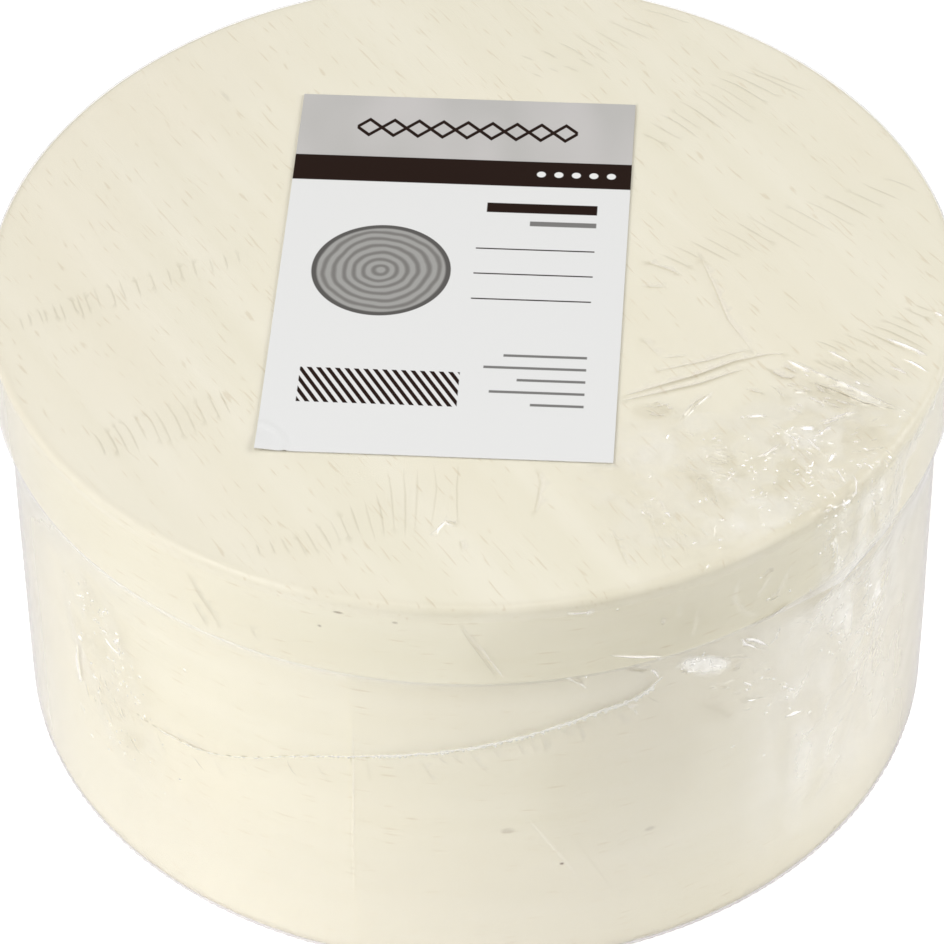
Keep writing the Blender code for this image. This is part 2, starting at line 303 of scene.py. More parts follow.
# Single folds: the places of a path one after the other, then height, width and how dark, milky and
# bright. A place has X and Y on the lid, and an angle and a height on the rim and the side.
LID_FOLDS = (
    ((18.6, -26.1, 24.3, -23.8, 29.5, -21.7, 34.2, -19.2, 38.9, -17.7, 41.9, -17.8), 0.3, 0.3, 0.6),
    ((18.6, -27, 22.9, -25.6, 29.5, -23.5, 34.1, -21.2, 36.5, -20.3), 0.25, 0.28, 0.5),
    ((23, -21.1, 31.1, -18.8, 34.7, -17.2, 37, -16.8), 0.15, 0.2, 0.35),
    ((22.5, 1.7, 25, 0.4, 28.5, -1.8), 0.08, 0.24, 0.5),
    ((22.3, -3.6, 24.2, -3.9, 26, -4), 0.08, 0.22, 0.35),
    ((7.9, -38.8, 8.4, -42.2, 7.9, -45.6, 7.3, -49), 0.08, 0.26, 0.3),
    ((21.8, -13.5, 24.5, -18.2), 0.1, 0.18, 0.3), ((24.6, -18.3, 28.3, -17.8), 0.1, 0.2, 0.3),
    ((38.1, -20.1, 39.6, -21.9, 41.2, -23.1, 42.5, -21.5), 0.25, 0.3, 0.6),
    ((40.1, -20.1, 41.3, -20.7, 42.3, -21.9), 0.2, 0.26, 0.6),
    ((35.3, -24.4, 36.8, -25.2, 38.2, -25.8), 0.15, 0.18, 0.45),
    ((38.6, -23.8, 39.8, -25.4, 40.3, -27.6), 0.15, 0.18, 0.4),
    ((41.5, -24.5, 42.4, -26.1, 44, -25.3), 0.25, 0.3, 0.7),
    ((44.9, -26.9, 46.4, -28.4, 48, -29.2), 0.2, 0.24, 0.6),
    ((43.3, -23.2, 45.7, -24.9, 48.2, -26.5, 50.3, -28.1, 53.2, -29.1, 55, -29.4), 0.35, 0.75, 0.62),
    ((41.4, -18.6, 44.8, -21.9, 48.6, -25.1, 53.8, -28.7, 56.9, -30.4), 0.45, 0.75, 0, 0.05, 0.1),
    ((41, -18.9, 42.6, -20.2, 44.3, -21.6), 0.3, 0.22, 0, 0.2, 0.75),
    ((54.2, -14.6, 56.7, -16.2, 59.8, -18.3), 0.25, 0.27, 0, 0.3, 0.95),
    ((56.2, -18.8, 57.9, -19.8, 59.6, -21.8), 0.2, 0.22, 0, 0.3, 0.8),
    ((46.4, -16.9, 48, -18.3, 49.7, -19.5), 0.2, 0.22, 0, 0.3, 0.55),
    ((61.1, -9.5, 61.7, -10, 62.3, -10.5), 0.2, 0.24, 0, 0.3, 0.9),
    ((49.7, -23.4, 50.1, -23.8, 50.5, -24.2), 0.15, 0.2, 0, 0.3, 0.7),
    ((54.4, -20.3, 55.6, -21.2, 56.9, -22.2), 0.15, 0.24, 0, 0.3, 0.2),
    ((26.4, -31, 28.6, -27.4, 31, -24.9), 0.2, 0.22, 0.4),
    ((27.4, -30.3, 29.4, -26.9, 31.5, -24.7), 0.2, 0.26, 0, 0.1, 0.25),
    ((22.2, -28.5, 23.4, -29.6, 25.1, -30.1), 0.15, 0.26, 0.45),
    ((22.8, -27.5, 24.1, -27.1, 25.9, -28.5), 0.15, 0.24, 0.45),
    ((35, -30, 36.6, -30.4, 38.1, -30.1), 0.15, 0.2, 0, 0.2, 0.6),
    ((44, -32.1, 45.9, -31.5, 47.9, -30.4, 49.9, -29.7), 0.3, 0.45, 0, 0.2, 0.38),
    ((44.8, -32.4, 46.4, -31.7, 47.6, -31.1), 0.2, 0.2, 0, 0.3, 0.55),
    ((43.6, -34.6, 45.3, -33.6, 46.1, -32.3), 0.25, 0.24, 0, 0.3, 0.6),
    ((45.3, -39.5, 45.9, -38.2, 46.6, -38), 0.2, 0.22, 0, 0.3, 0.8),
    ((48.4, -41.3, 48.6, -43.3, 47.8, -45), 0.25, 0.2, 0, 0.2, 0.45),
    ((48.1, -44.6, 47.2, -45.5, 46.2, -46.2), 0.3, 0.46, 0, 0.3, 0.95),
    ((46.4, -46.1, 45.2, -47, 43.8, -47.9), 0.2, 0.3, 0, 0.2, 0.35),
    ((46.2, -40.3, 46.8, -42, 47.3, -43.5), 0.2, 0.18, 0, 0.2, 0.45),
    ((40, -33.6, 41, -34.3, 41.6, -35.8), 0.25, 0.28, 0, 0.3, 0.7),
    ((42, -32.6, 43.1, -32.9, 44, -32.6), 0.25, 0.34, 0, 0.3, 0.95),
    ((42.9, -34.6, 43.6, -36, 44.6, -37.6), 0.2, 0.22, 0, 0.3, 0.4),
    ((32.1, -42.9, 32.8, -41.7, 33.5, -40.5), 0.2, 0.3, 0, 0.2, 0.28),
    ((39.6, -35.4, 37.6, -37.4, 36, -38), 0.2, 0.3, 0, 0.3, 0.2),
    ((29.6, -38.5, 30.8, -39.3, 32.9, -39.3), 0.2, 0.22, 0.4),
    ((30.5, -37.2, 31.8, -36.7, 32.6, -37.2), 0.15, 0.2, 0.3),
    ((27.6, -39.1, 28.7, -42.3, 29, -45.7), 0.2, 0.5, 0.22),
    ((30.3, -44.4, 30.6, -46.6, 31.4, -47), 0.15, 0.22, 0.3),
    ((16.4, -50.1, 17.4, -51.6, 18.4, -55.3, 19.3, -58.4), 0.12, 0.24, 0.28),
    ((21, -45.5, 22.7, -52, 23.7, -57.5), 0.12, 0.4, 0.16),
    ((24.1, -46.5, 25.8, -53, 26.8, -57.6), 0.12, 0.4, 0.16),
    ((30.2, 3.6, 32.2, -4, 33.7, -10.7, 35.5, -14.5, 37, -18), 0.1, 0.14, 0.45),
    ((-5.7, -51.8, -4.7, -50.6, -3.8, -49.4, -2.5, -50.2), 0.25, 0.22, 0, 0.1, 0.3),
    ((-4.6, -49.6, -3.4, -48.9, -1.8, -50), 0.15, 0.22, 0.4),
    ((-2, -52.2, -1.7, -54.8), 0.15, 0.24, 0.3),
)
RIM_FOLDS = (
    ((-2, 66.4, -1, 63.6, 0.6, 60.2, 2.4, 55.9), 0.25, 0.26, 0.4),
    ((0.4, 62.4, 1.4, 59.6, 2.4, 57.6, 3.2, 55.9), 0.15, 0.24, 0, 0.1, 0.15),
    ((-34.1, 65, -32.9, 62.2, -31.5, 60.2, -30.5, 58.6, -29.5, 56.6), 0.12, 0.42, 0.34),
    ((-33.9, 60.3, -32.6, 58.4, -31.5, 56.2), 0.1, 0.3, 0.32),
    ((-26.2, 60.1, -25.7, 58.6, -25.3, 57.3), 0.08, 0.32, 0.2),
    ((14.8, 58.1, 17.8, 56.8, 21.5, 55.4), 0.25, 0.22, 0, 0.2, 0.45),
    ((9.8, 66.5, 11.6, 66.4, 13.4, 66.1), 0.15, 0.2, 0, 0.2, 0.35),
    ((30.7, 65.1, 29.9, 61.2, 31.6, 58.1, 33.7, 56.2), 0.1, 0.75, 0, 0, 0.12),
    ((33.2, 59.2, 34.2, 61.2, 35.5, 63), 0.1, 0.65, 0, 0, 0.12),
    ((23.2, 61.1, 23.1, 62.8, 23.5, 64.4), 0.08, 0.55, 0, 0, 0.08),
    ((24.9, 56.7, 25.3, 60.9, 26, 62.4), 0.08, 0.6, 0, 0, 0.09),
    ((36.2, 56.5, 37, 60, 38.6, 63.5), 0.1, 0.75, 0, 0, 0.1),
    ((38.4, 56, 35.1, 55.3, 32.3, 55.2), 0.25, 0.55, 0.5),
    ((33.9, 62.6, 35.6, 63.6), 0.2, 0.26, 0.5), ((34.9, 58, 36.6, 58.2), 0.2, 0.26, 0.5),
    ((20.9, 61.4, 21.4, 61.3), 0.15, 0.2, 0.7),
)
SIDE_FOLDS = (
    ((-14.4, 48, -14.8, 34, -15.1, 20, -15.4, 4), 0.05, 0.24, 0, 0.1, 0.05),
    ((11.1, 54.4, 11.8, 53, 12.5, 51.8), 0.15, 0.3, 0.35),
    ((9.5, 54.4, 11.5, 52.8, 13.1, 50.8), 0.15, 0.18, 0, 0.1, 0.25),
    ((17.2, 53.5, 18.8, 52.6, 20.3, 51.6), 0.25, 0.45, 0.8),
    ((21.6, 49.6, 21.2, 51, 20.5, 52.2), 0.3, 0.22, 0, 0.3, 0.6),
    ((17.3, 46.9, 18.4, 45.4, 19.2, 44.1), 0.12, 0.18, 0, 0.1, 0.25),
    ((32.3, 51.8, 32.7, 50.4, 34, 49, 35.4, 47.6), 0.35, 0.26, 0, 0.3, 0.95),
    ((32.8, 51.2, 34.5, 49.9, 36.6, 47.4), 0.3, 0.24, 0, 0.3, 0.9),
    ((36.6, 47.4, 37.7, 48.4, 38, 50.6), 0.25, 0.3, 0, 0.1, 0.28),
    ((24.1, 50.1, 24.9, 49.4, 25.7, 48.8), 0.2, 0.36, 0.55),
    ((31.4, 46.4, 32.5, 45.8), 0.2, 0.36, 0.6),
    ((29.6, 49.2, 32.2, 48.4, 34.6, 46.6), 0.2, 0.3, 0.3),
    ((32.4, 40.1, 34.6, 39.2, 36.9, 38), 0.2, 0.34, 0.3),
    ((26.4, 43.2, 29, 40.6, 31.8, 37), 0.15, 0.6, 0.22),
    ((33, 43.1, 34.5, 41.4), 0.2, 0.2, 0, 0.3, 0.7),
    ((38.4, 39.1, 39.8, 37.6, 41.3, 35.9), 0.2, 0.26, 0, 0.3, 0.55),
    ((39.5, 32.2, 41, 32, 42.5, 31.5), 0.25, 0.26, 0, 0.3, 0.85),
    ((55.4, 29, 56.8, 30.2, 57.7, 32), 0.1, 0.7, 0, 0, 0.16),
    ((59.4, 17.5, 60.2, 20, 60.9, 23.4), 0.1, 0.7, 0, 0, 0.16),
    ((55, 34.6, 55.8, 36.4, 56.4, 38.8), 0.12, 0.6, 0, 0, 0.24),
    ((40.3, 49.6, 42.2, 48.2, 44.1, 46.9), 0.12, 0.6, 0, 0, 0.22),
    ((-57.3, 32.8, -57.9, 29.4, -57.5, 27, -57.5, 25), 0.3, 0.26, 0, 0.3, 0.85),
    ((-56.5, 35.4, -55.4, 35.1), 0.25, 0.3, 0, 0.3, 0.8),
    ((-48.7, 40.4, -47.1, 42.5), 0.2, 0.28, 0, 0.3, 0.7),
    ((-50.9, 39.9, -49.4, 39, -47.5, 39), 0.15, 0.18, 0, 0.3, 0.4),
    ((-53.9, 30.1, -52.8, 30.1), 0.2, 0.26, 0, 0.3, 0.6),
    ((-51.2, 31.7, -50.4, 29.7), 0.15, 0.3, 0.35), ((-56, 27, -55.4, 23.8), 0.15, 0.3, 0.35),
    ((-48.3, 29, -47.5, 27.2), 0.15, 0.3, 0.35), ((-47.2, 24.3, -45.1, 22.1), 0.15, 0.36, 0.25),
    ((-42.5, 30.3, -40.2, 29.9, -38, 30.2, -35, 30.5, -32.3, 30.8), 0.15, 0.3, 0.4),
    ((5, 30, 8, 24, 11, 18, 13, 12), 0.08, 0.3, 0, 0, 0.08),
    ((9, 28, 12, 22, 15, 15, 17, 10), 0.08, 0.26, 0.1),
    ((16, 22, 19, 16, 22, 12, 24, 8), 0.08, 0.3, 0, 0, 0.08),
)
# Single small glints, placed in the same ways.
LID_GLINTS = (
    (24.9, -33.9), (35.5, -38.2), (37.2, -38.7), (35.3, -40.1), (37.1, -40.2), (38.7, -40.9),
    (35.7, -42.4), (22.5, -41.4), (22.5, -45.6), (21.5, -48.1), (24.4, -48.7), (24, -50),
    (28.7, -46.4), (29.5, -46.2), (31.3, -49.8), (32.5, -50.9), (30.8, -53.4), (30.6, -54.7),
    (29, -57.6), (41.2, -46.8), (42.8, -41.2), (44.5, -41.2), (48.3, -39), (49.2, -35.6),
    (43.4, -21.9), (55.3, -30.6), (27.7, -54),
)
RIM_GLINTS = ((33.7, 63.1), (34.7, 58.4), (41.1, 56), (15.8, 65.7), (38, 57.6), (46, 57.5))
SIDE_GLINTS = (
    (-55.9, 43.2), (-58.2, 39.8), (-54.3, 43.9), (-52.5, 45), (-54.5, 41.6), (-50.5, 44.1),
    (-52.2, 41.6), (-61.1, 31.4), (-55.5, 36.5), (-50.2, 41.1), (-48, 42.5), (-50, 36.6),
    (-53.7, 32.3), (-48.2, 35.1), (-47.9, 33.6), (-44.1, 37.6), (-52.8, 27.8), (-57, 20.4),
    (-44.8, 32.6), (-43.7, 30.4), (-36.8, 44.2), (-55.7, 16.8), (-51.4, 20.3), (-50.8, 23.2),
    (-48.7, 24.1), (-51.9, 17.4), (-43.4, 21.9), (-41.1, 27.1), (-38.8, 22.3), (43.9, 30.2),
    (40.2, 33.5), (36.7, 35.1), (34.3, 38.9), (37.1, 36.3), (31.8, 31.6), (36.7, 27.1),
    (41.5, 27.5), (47.3, 51.5), (47.5, 48.8), (53.8, 45.6), (46.8, 42.1), (12.6, 53.4),
)

# The camera, where the photograph was taken from with its own long lens.
PHOTO_SIDE = 944
FOCAL_PIXELS = 4963.4
CAMERA_PLACE = Vector((0, -506.45, 498.13)) * 1.0023
CAMERA_PITCH, CAMERA_YAW, CAMERA_ROLL = (math.radians(angle) for angle in (42.65, -0.04, -0.62))

# Light: how bright the room and the floor are.
AMBIENT = 0.20
FLOOR_GLOW = 0.35
FLOOR_BOUNCE = 0.24
# Lamps: angle and height in degrees, distance in metres, power in watts.
LAMPS = (
    ("left_key", -55, 35, 1.7, 16.7), ("left_side", -90, 25, 2.2, 4.4),
    ("right_side", 72, 20, 2.2, 10.2), ("right_back", 110, 30, 2.2, 20),
    ("front_top", -10, 76, 1, 2.72),
)
# The point that the lamps face, in metres.
LAMP_TARGET = Vector((0, 0, 0.035))


# Materials.


class Paint:
    """The node tree of a material or of the world, with short calls for the nodes used here."""

    def __init__(self, owner, output="OutputMaterial"):
        owner.use_nodes = True
        self.owner = owner
        self.tree = owner.node_tree
        self.tree.nodes.clear()
        self.out = self.tree.nodes.new("ShaderNode" + output)

    def node(self, kind, inputs=(), out=0, **settings):
        """An output of a new node, whose inputs are plain values or outputs of other nodes."""
        made = self.tree.nodes.new("ShaderNode" + kind)
        for key, value in settings.items():
            setattr(made, key, value)
        for key, value in dict(inputs).items():
            if isinstance(value, bpy.types.NodeSocket):
                self.tree.links.new(value, made.inputs[key])
            else:
                made.inputs[key].default_value = value
        return made.outputs[out]

    def math(self, operation, a, b=0, clamp=False):
        return self.node("Math", {0: a, 1: b}, operation=operation, use_clamp=clamp)

    def times(self, a, b):
        return self.math("MULTIPLY", a, b)

    def minus(self, a, b):
        return self.math("SUBTRACT", a, b)

    def length(self, vector):
        return self.node("VectorMath", {0: vector}, "Value", operation="LENGTH")

    def mix(self, share, a, b):
        """A colour between two colours."""
        return self.node("Mix", {"Factor": share, 6: a, 7: b}, 2, data_type="RGBA")

    def layer(self, share, under, over):
        """A shader between two shaders."""
        return self.node("MixShader", {0: share, 1: under, 2: over})

    def ramp(self, value, low, high, to_low=0, to_high=1):
        """A value moved from one range to another, and held at its ends."""
        return self.node("MapRange", {0: value, 1: low, 2: high, 3: to_low, 4: to_high}, clamp=True)

    def noise(self, vector, scale, detail=2, roughness=0.5):
        inputs = {"Vector": vector, "Scale": scale, "Detail": detail, "Roughness": roughness}
        return self.node("TexNoise", inputs, "Fac")

    def stretch(self, vector, scale, turn=0, place=(0, 0, 0)):
        inputs = {"Vector": vector, "Location": place, "Rotation": (0, 0, turn), "Scale": scale}
        return self.node("Mapping", inputs)

    def seen(self):
        """1 for a ray from the camera, a mirror or glass, and 0 for the rest."""
        rays = [self.node("LightPath", out=kind)
                for kind in ("Is Camera Ray", "Is Glossy Ray", "Is Transmission Ray")]
        return self.math("MAXIMUM", self.math("MAXIMUM", rays[0], rays[1]), rays[2])

    def finish(self, shader):
        self.tree.links.new(shader, self.out.inputs["Surface"])
        return self.owner

    def finish_surface(self, colour, roughness, gloss, rise, depth, relief):
        """Ends as an opaque surface with a fine relief."""
        bump = self.node("Bump", {"Height": rise, "Distance": depth * MM, "Strength": relief})
        return self.finish(self.node("BsdfPrincipled", {
            "Base Color": colour, "Roughness": roughness, "Normal": bump, "Specular IOR Level": gloss,
        }))


def wood(name, colour, specks, relief, along_strip):
    """Peeled chipwood: long pale streaks, fine fibres, tiny pores and a few specks."""
    paint = Paint(bpy.data.materials.new(name))
    mix, ramp, times, stretch = paint.mix, paint.ramp, paint.times, paint.stretch
    if along_strip:
        grain = paint.node("UVMap", uv_map="grain")
    else:
        place = paint.node("TexCoord", out="Object")
        grain = stretch(place, (1, 1, 1), math.radians(-GRAIN_ANGLE))
    streaks = paint.noise(stretch(grain, (9, 160, 160)), 1, 5, 0.6)
    fibres = paint.noise(stretch(grain, (70, 1500, 1500)), 1)
    clouds = paint.noise(stretch(grain, (28, 55, 55)), 1)
    pore = ramp(paint.noise(stretch(grain, (320, 2600, 2600)), 1, 0), 0.71, 0.80)
    dark = tinted(colour, 0.97, 0.965, 0.93)
    look = mix(ramp(streaks, 0.3, 0.7), dark, tinted(colour, 1.02, 1.02, 1.02))
    warm = tinted(colour, 0.985, 0.965, 0.925)
    look = mix(ramp(clouds, 0.45, 0.75, 0, 0.6), look, warm)
    look = mix(ramp(fibres, 0.35, 0.75, 0, 0.22), look, dark)
    look = mix(times(pore, 0.35), look, tinted(colour, 0.72, 0.62, 0.48))
    for x, y, long, wide, depth in specks:
        scale = (1 / (long * MM), 1 / (wide * MM), 0)
        far = paint.length(stretch(grain, scale, place=(-x / long, -y / wide, 0)))
        look = mix(ramp(far, 0.4, 1.1, depth, 0), look, SPECK_COLOUR)
    if along_strip:
        run = paint.node("SeparateXYZ", {0: grain})
        paler = times(ramp(run, *PALE_START), ramp(run, *PALE_END))
        look = paint.node("VectorMath", {0: look, "Scale": paler}, operation="SCALE")
    rise = paint.math("ADD", times(streaks, 0.5), times(fibres, 0.35))
    rise = paint.minus(rise, times(pore, 0.3))
    rough = ramp(fibres, 0.3, 0.8, 0.62, 0.78)
    return paint.finish_surface(look, rough, 0.25, rise, GRAIN_DEPTH, relief)


def film(name, haze, roughness, milk):
    """Clear shrink film: glossy, a faint haze, and dark, milky or bright where it is folded, with
    painted shade and painted light carried by the same marks.
    """
    paint = Paint(bpy.data.materials.new(name))
    dark, milky, bright = (
        paint.node("Attribute", out="Fac", attribute_name=label) for label in MARK_NAMES
    )
    through = paint.node("BsdfTransparent", {"Color": (0.99, 0.99, 0.99, 1)})
    # The dark mark, for folds and for painted shade, dims what is seen through the film.
    folded = paint.node("BsdfTransparent", {"Color": (0.79, 0.77, 0.72, 1)})
    coat = paint.node("BsdfGlossy", {"Color": WHITE, "Roughness": roughness})
    spark = paint.node("BsdfGlossy", {"Color": (0.97, 0.97, 0.97, 1), "Roughness": 0.42})
    sheen = paint.node("BsdfGlossy", {"Color": (0.66, 0.65, 0.66, 1), "Roughness": 0.35})
    skin = paint.layer(0.006, paint.layer(dark, through, folded), coat)
    skin = paint.layer(paint.times(bright, 0.8), skin, spark)
    facing = paint.node("LayerWeight", {"Blend": 0.5}, "Facing")
    skin = paint.layer(paint.times(paint.math("POWER", facing, 6), 0.8), skin, sheen)
    share = paint.math("ADD", paint.times(milky, 0.9), haze, clamp=True)
    return paint.finish(paint.layer(share, skin, paint.node("BsdfDiffuse", {"Color": milk})))


# Wooden discs and bands.


def turned(name, profile, steps=256):
    """A solid turned about Z from a profile that starts and ends on the axis."""
    verts = [(0.0, 0.0, profile[0][1])]
    ring = profile[1:-1]
    for radius, z in ring:
        verts += [polar(radius, 360 * step / steps, z) for step in range(steps)]
    verts.append((0.0, 0.0, profile[-1][1]))
    last = len(verts) - 1
    faces = []
    for step in range(steps):
        after = (step + 1) % steps
        faces.append((0, 1 + step, 1 + after))
        for index in range(len(ring) - 1):
            a = 1 + index * steps
            b = a + steps
            faces.append((a + step, b + step, b + after, a + after))
        a = 1 + (len(ring) - 1) * steps
        faces.append((a + step, last, a + after))
    return new_object(name, verts, faces)


def corner(radius, z, rounding, upper, steps=8):
    """Points round an outer corner of a turned piece, from its flat to its side or back."""
    sign = 1 if upper else -1
    points = []
    for step in range(steps + 1):
        turn = math.pi / 2 * step / steps
        if not upper:
            turn = math.pi / 2 - turn
        points.append((
            radius - rounding + rounding * math.sin(turn),
            z + sign * (rounding * math.cos(turn) - rounding),
        ))
    return points


def disc(name, node, body, material, upper_rounding, lower_rounding):
    """A chipwood disc in the place of its CAD node, with sanded edges."""
    low, high = node_box(node)
    radius = (high.x - low.x) / 2
    profile = [(0.0, high.z)] + [(radius * share, high.z) for share in DISC_RINGS]
    profile += corner(radius, high.z, upper_rounding, True)
    profile += corner(radius, low.z, lower_rounding, False)
    profile += [(radius * share, low.z) for share in reversed(DISC_RINGS)] + [(0.0, low.z)]
    return dress(turned(name, profile), material, body, "disc_wood", node)


def band(name, node, body, material, radius, lap_angle, low, lip, top, lip_top):
    """A strip bent round and glued on itself at a lap, with sanded lips."""
    lap_turn = math.degrees(LAP_LENGTH / radius)
    turns = [360 * step / BAND_COLUMNS for step in range(BAND_COLUMNS + 1)]
    turns = sorted(turns + [lap_turn - 0.001, lap_turn + 0.001])
    foot, shoulder, bevel = low + lip, top - lip_top, lip_top * 0.3
    verts = []
    for turn in turns:
        back = (lap_turn - turn) % 360
        outside = radius + LAP_STEP * max(0.0, 1 - turn / lap_turn)
        inside = radius - BAND_THICKNESS - LAP_STEP * max(0.0, 1 - back / lap_turn)
        profile = [
            (outside, foot), (outside, foot + BAND_EDGE), (outside, shoulder - BAND_EDGE),
            (outside, shoulder), (outside - bevel, top - bevel), (outside - lip_top, top),
            (inside + lip_top, top), (inside + bevel, top - bevel), (inside, shoulder),
            (inside, shoulder - BAND_EDGE), (inside, foot + BAND_EDGE), (inside, foot),
            (inside + lip, low), (outside - lip, low),
        ]
        verts += [polar(r, lap_angle + turn, z) for r, z in profile]
    lengths = [0.0]
    for before, here in zip(profile, profile[1:] + profile[:1]):
        lengths.append(lengths[-1] + math.dist(before, here))
    size = len(profile)
    faces = []
    marks = []
    for column, turn in enumerate(turns):
        after = (column + 1) % len(turns)
        u_here = math.radians(turn) * radius
        u_there = u_here if after == 0 else math.radians(turns[after]) * radius
        for index in range(size):
            nearby = (index + 1) % size
            faces.append((
                column * size + index, after * size + index,
                after * size + nearby, column * size + nearby,
            ))
            v_here, v_next = lengths[index], lengths[index + 1]
            marks.append(((u_here, v_here), (u_there, v_here), (u_there, v_next), (u_here, v_next)))
    thing = new_object(name, verts, faces)
    layer = thing.data.uv_layers.new(name="grain")
    for face, mark in zip(thing.data.polygons, marks):
        for loop, (u, v) in zip(face.loop_indices, mark):
            layer.data[loop].uv = (u * MM, v * MM)
    reshape(thing, lambda shell: weld(shell, BAND_WELD))
    shade(thing, BAND_SHARP)
    return dress(thing, material, body, "band_wood", node)


# Film: points on a flattened sheet, woven into triangles and then put in place.


class Sheet:
    """A flattened piece of film: its points, how high each stands and how it is marked."""

    def __init__(self, lift, spacing, tone, gleam):
        self.lift, self.spacing, self.tone, self.gleam = lift, spacing, tone, gleam
        self.points, self.heights, self.tones = [], [], []
        self.edges, self.marks = [], []

    def add(self, point, height=0.0, tone=CLEAR):
        self.points.append(Vector(point))
        self.heights.append(height)
        self.tones.append(tone)
        return len(self.points) - 1

    def dot(self, points):
        """Single points that the fill keeps clear of."""
        for point in points:
            self.add(point)
        self.marks += points

    def line(self, points, heights=None, tones=None, closed=False):
        """A row of points joined by edges that the triangles keep."""
        heights = heights or [0.0] * len(points)
        tones = tones or [CLEAR] * len(points)
        ids = [self.add(*values) for values in zip(points, heights, tones)]
        self.edges += zip(ids, ids[1:] + ids[:1] if closed else ids[1:])

    def crease(self, path, height, width, tone, lean=0.0, light=0.0):
        """A fold along a path: a marked ridge with a foot line on each side, one of them paler as a
        painted highlight.
        """
        dark, milky, bright = (*tone, 0, 0)[:3]
        if bright:
            width *= GLINT_WIDENING
        mark = Vector((dark, milky, bright * self.gleam))
        spots = resample([Vector(point) for point in path], FOLD_STEP)
        count = len(spots) - 1
        sides = []
        for index, spot in enumerate(spots):
            ahead = spots[min(index + 1, count)] - spots[max(index - 1, 0)]
            sides.append(Vector((-ahead.y, ahead.x)).normalized())
            self.marks.append(spot)
            if index:
                self.marks.append((spot + spots[index - 1]) / 2)
        swell = [max(0.0, math.sin(math.pi * index / count)) ** 0.6 for index in range(count + 1)]
        ridge = [spot + side * lean * width * part
                 for spot, side, part in zip(spots, sides, swell)]
        # The ridge's dark mark is partly the double layer of folded film and partly painted shade along
        # the fold.
        self.line(ridge, [height * part for part in swell], [mark * part for part in swell])
        # The paler foot line on one side is a painted highlight, the fold's lit side.
        for sign in (-1, 1):
            feet = [spot + side * sign * width * (0.35 + 0.65 * part)
                    for spot, side, part in zip(spots, sides, swell)]
            pale = [Vector((0.0, light * part, 0.0)) if sign > 0 else CLEAR for part in swell]
            self.line(feet[1:-1], tones=pale[1:-1])

    def fold(self, row, place, lean=0.2):
        """A fold from a row of a table, with a paler foot line as a painted highlight."""
        path, height, width, *tone = row
        path = [place(*spot) for spot in zip(path[::2], path[1::2])]
        self.crease(path, height, width, tone, lean, 0.25 * tone[0])

    def dash(self, spot, run, bow, height, width, tone, light=0.0):
        """A short bowed fold through a place, running as far to either side of it."""
        bend = Vector((-run.y, run.x)) * bow
        self.crease([spot - run, spot + bend, spot + run], height, width, tone, 0.0, light)

    def wrinkles(self, centre, reach, count, lean, long, dark):
        """Faint short folds scattered round a place, all running much the same way."""
        for _ in range(count):
            away = Vector((random.uniform(-1, 1) * reach[0], random.uniform(-1, 1) * reach[1]))
            run = heading(lean + random.gauss(0, 14)) * random.uniform(0.4, 1.0) * long / 2
            bow = random.uniform(-0.2, 0.2)
            strength = dark * random.uniform(0.3, 1.0)
            height, width = random.uniform(0.06, 0.16), random.uniform(0.16, 0.3)
            spot = Vector(centre) + away
            self.dash(spot, run, bow, height, width, (strength,), strength * 0.6)

    def glints(self, path, spread, count, longest, least=0.1):
        """Small bright folds scattered along a path."""
        path = [Vector(point) for point in path]
        for _ in range(count):
            leg = random.randrange(len(path) - 1) if len(path) > 1 else 0
            spot = lerp(path[leg], path[min(leg + 1, len(path) - 1)], random.random())
            spot = spot + Vector((random.gauss(0, 1), random.gauss(0, 1))) * spread
            half = random.uniform(0.15, longest / 2)
            run = heading(random.uniform(0, 360)) * half
            bow = random.uniform(-0.5, 0.5)
            bright = lerp(least, 1.0, random.random() ** 2)
            height, width = random.uniform(0.04, 0.14), random.uniform(0.10, 0.20)
            self.dash(spot, run, bow, height, width, (0, 0.25 * bright, bright))

    def single_glints(self, spots, place):
        """One glint at each of a table's places."""
        for spot in spots:
            self.glints([place(*spot)], spread=0.1, count=1, longest=1, least=0.5)

    def fill(self, low, high, inside):
        """Rows of points over the rest of the sheet, closer together where the spacing says so."""
        taken = point_tree(self.marks)
        for step in SPACINGS:
            shift = 0.0
            y = low[1]
            while y <= high[1]:
                x = low[0] + shift
                while x <= high[0]:
                    spot = Vector((x, y))
                    if self.spacing(spot) == step and inside(spot):
                        if taken.find((x, y, 0.0))[2] > min(SPACINGS[0], step * FILL_CLEARANCE):
                            jitter = Vector((random.uniform(-1, 1), random.uniform(-1, 1)))
                            self.add(spot + jitter * step * FILL_JITTER)
                    x += step
                y += step * FILL_ROW
                shift = step / 2 - shift

    def build(self, name, place):
        """Weaves the sheet into triangles, and puts each point on the object."""
        verts, _, faces, sources, _, _ = geometry.delaunay_2d_cdt(
            self.points, self.edges, [], 0, 0.00001, True
        )
        known = point_tree(self.points)
        spots = []
        tones = []
        for vert, source in zip(verts, sources):
            if source:
                level = max(self.heights[s] for s in source)
            else:
                source = [found[1] for found in known.find_n((vert.x, vert.y, 0.0), 2)]
                level = sum(self.heights[s] for s in source) / 2
            marks = [self.tones[s] for s in source] + [self.tone(vert)]
            spots.append(place(vert, level + self.lift(vert)))
            tones.append([max(values) for values in zip(*marks)])
        return finish_film(name, spots, [tuple(face) for face in faces], tones)


def finish_film(name, verts, faces, tones):
    """A film's object, with its marks, its seam welded and its thickness outwards."""
    thing = new_object(name, verts, faces)
    for label, values in zip(MARK_NAMES, zip(*tones)):
        layer = thing.data.attributes.new(label, "FLOAT", "POINT")
        layer.data.foreach_set("value", values)
    reshape(thing, thicken)
    shade(thing, FILM_SHARP)
    return thing


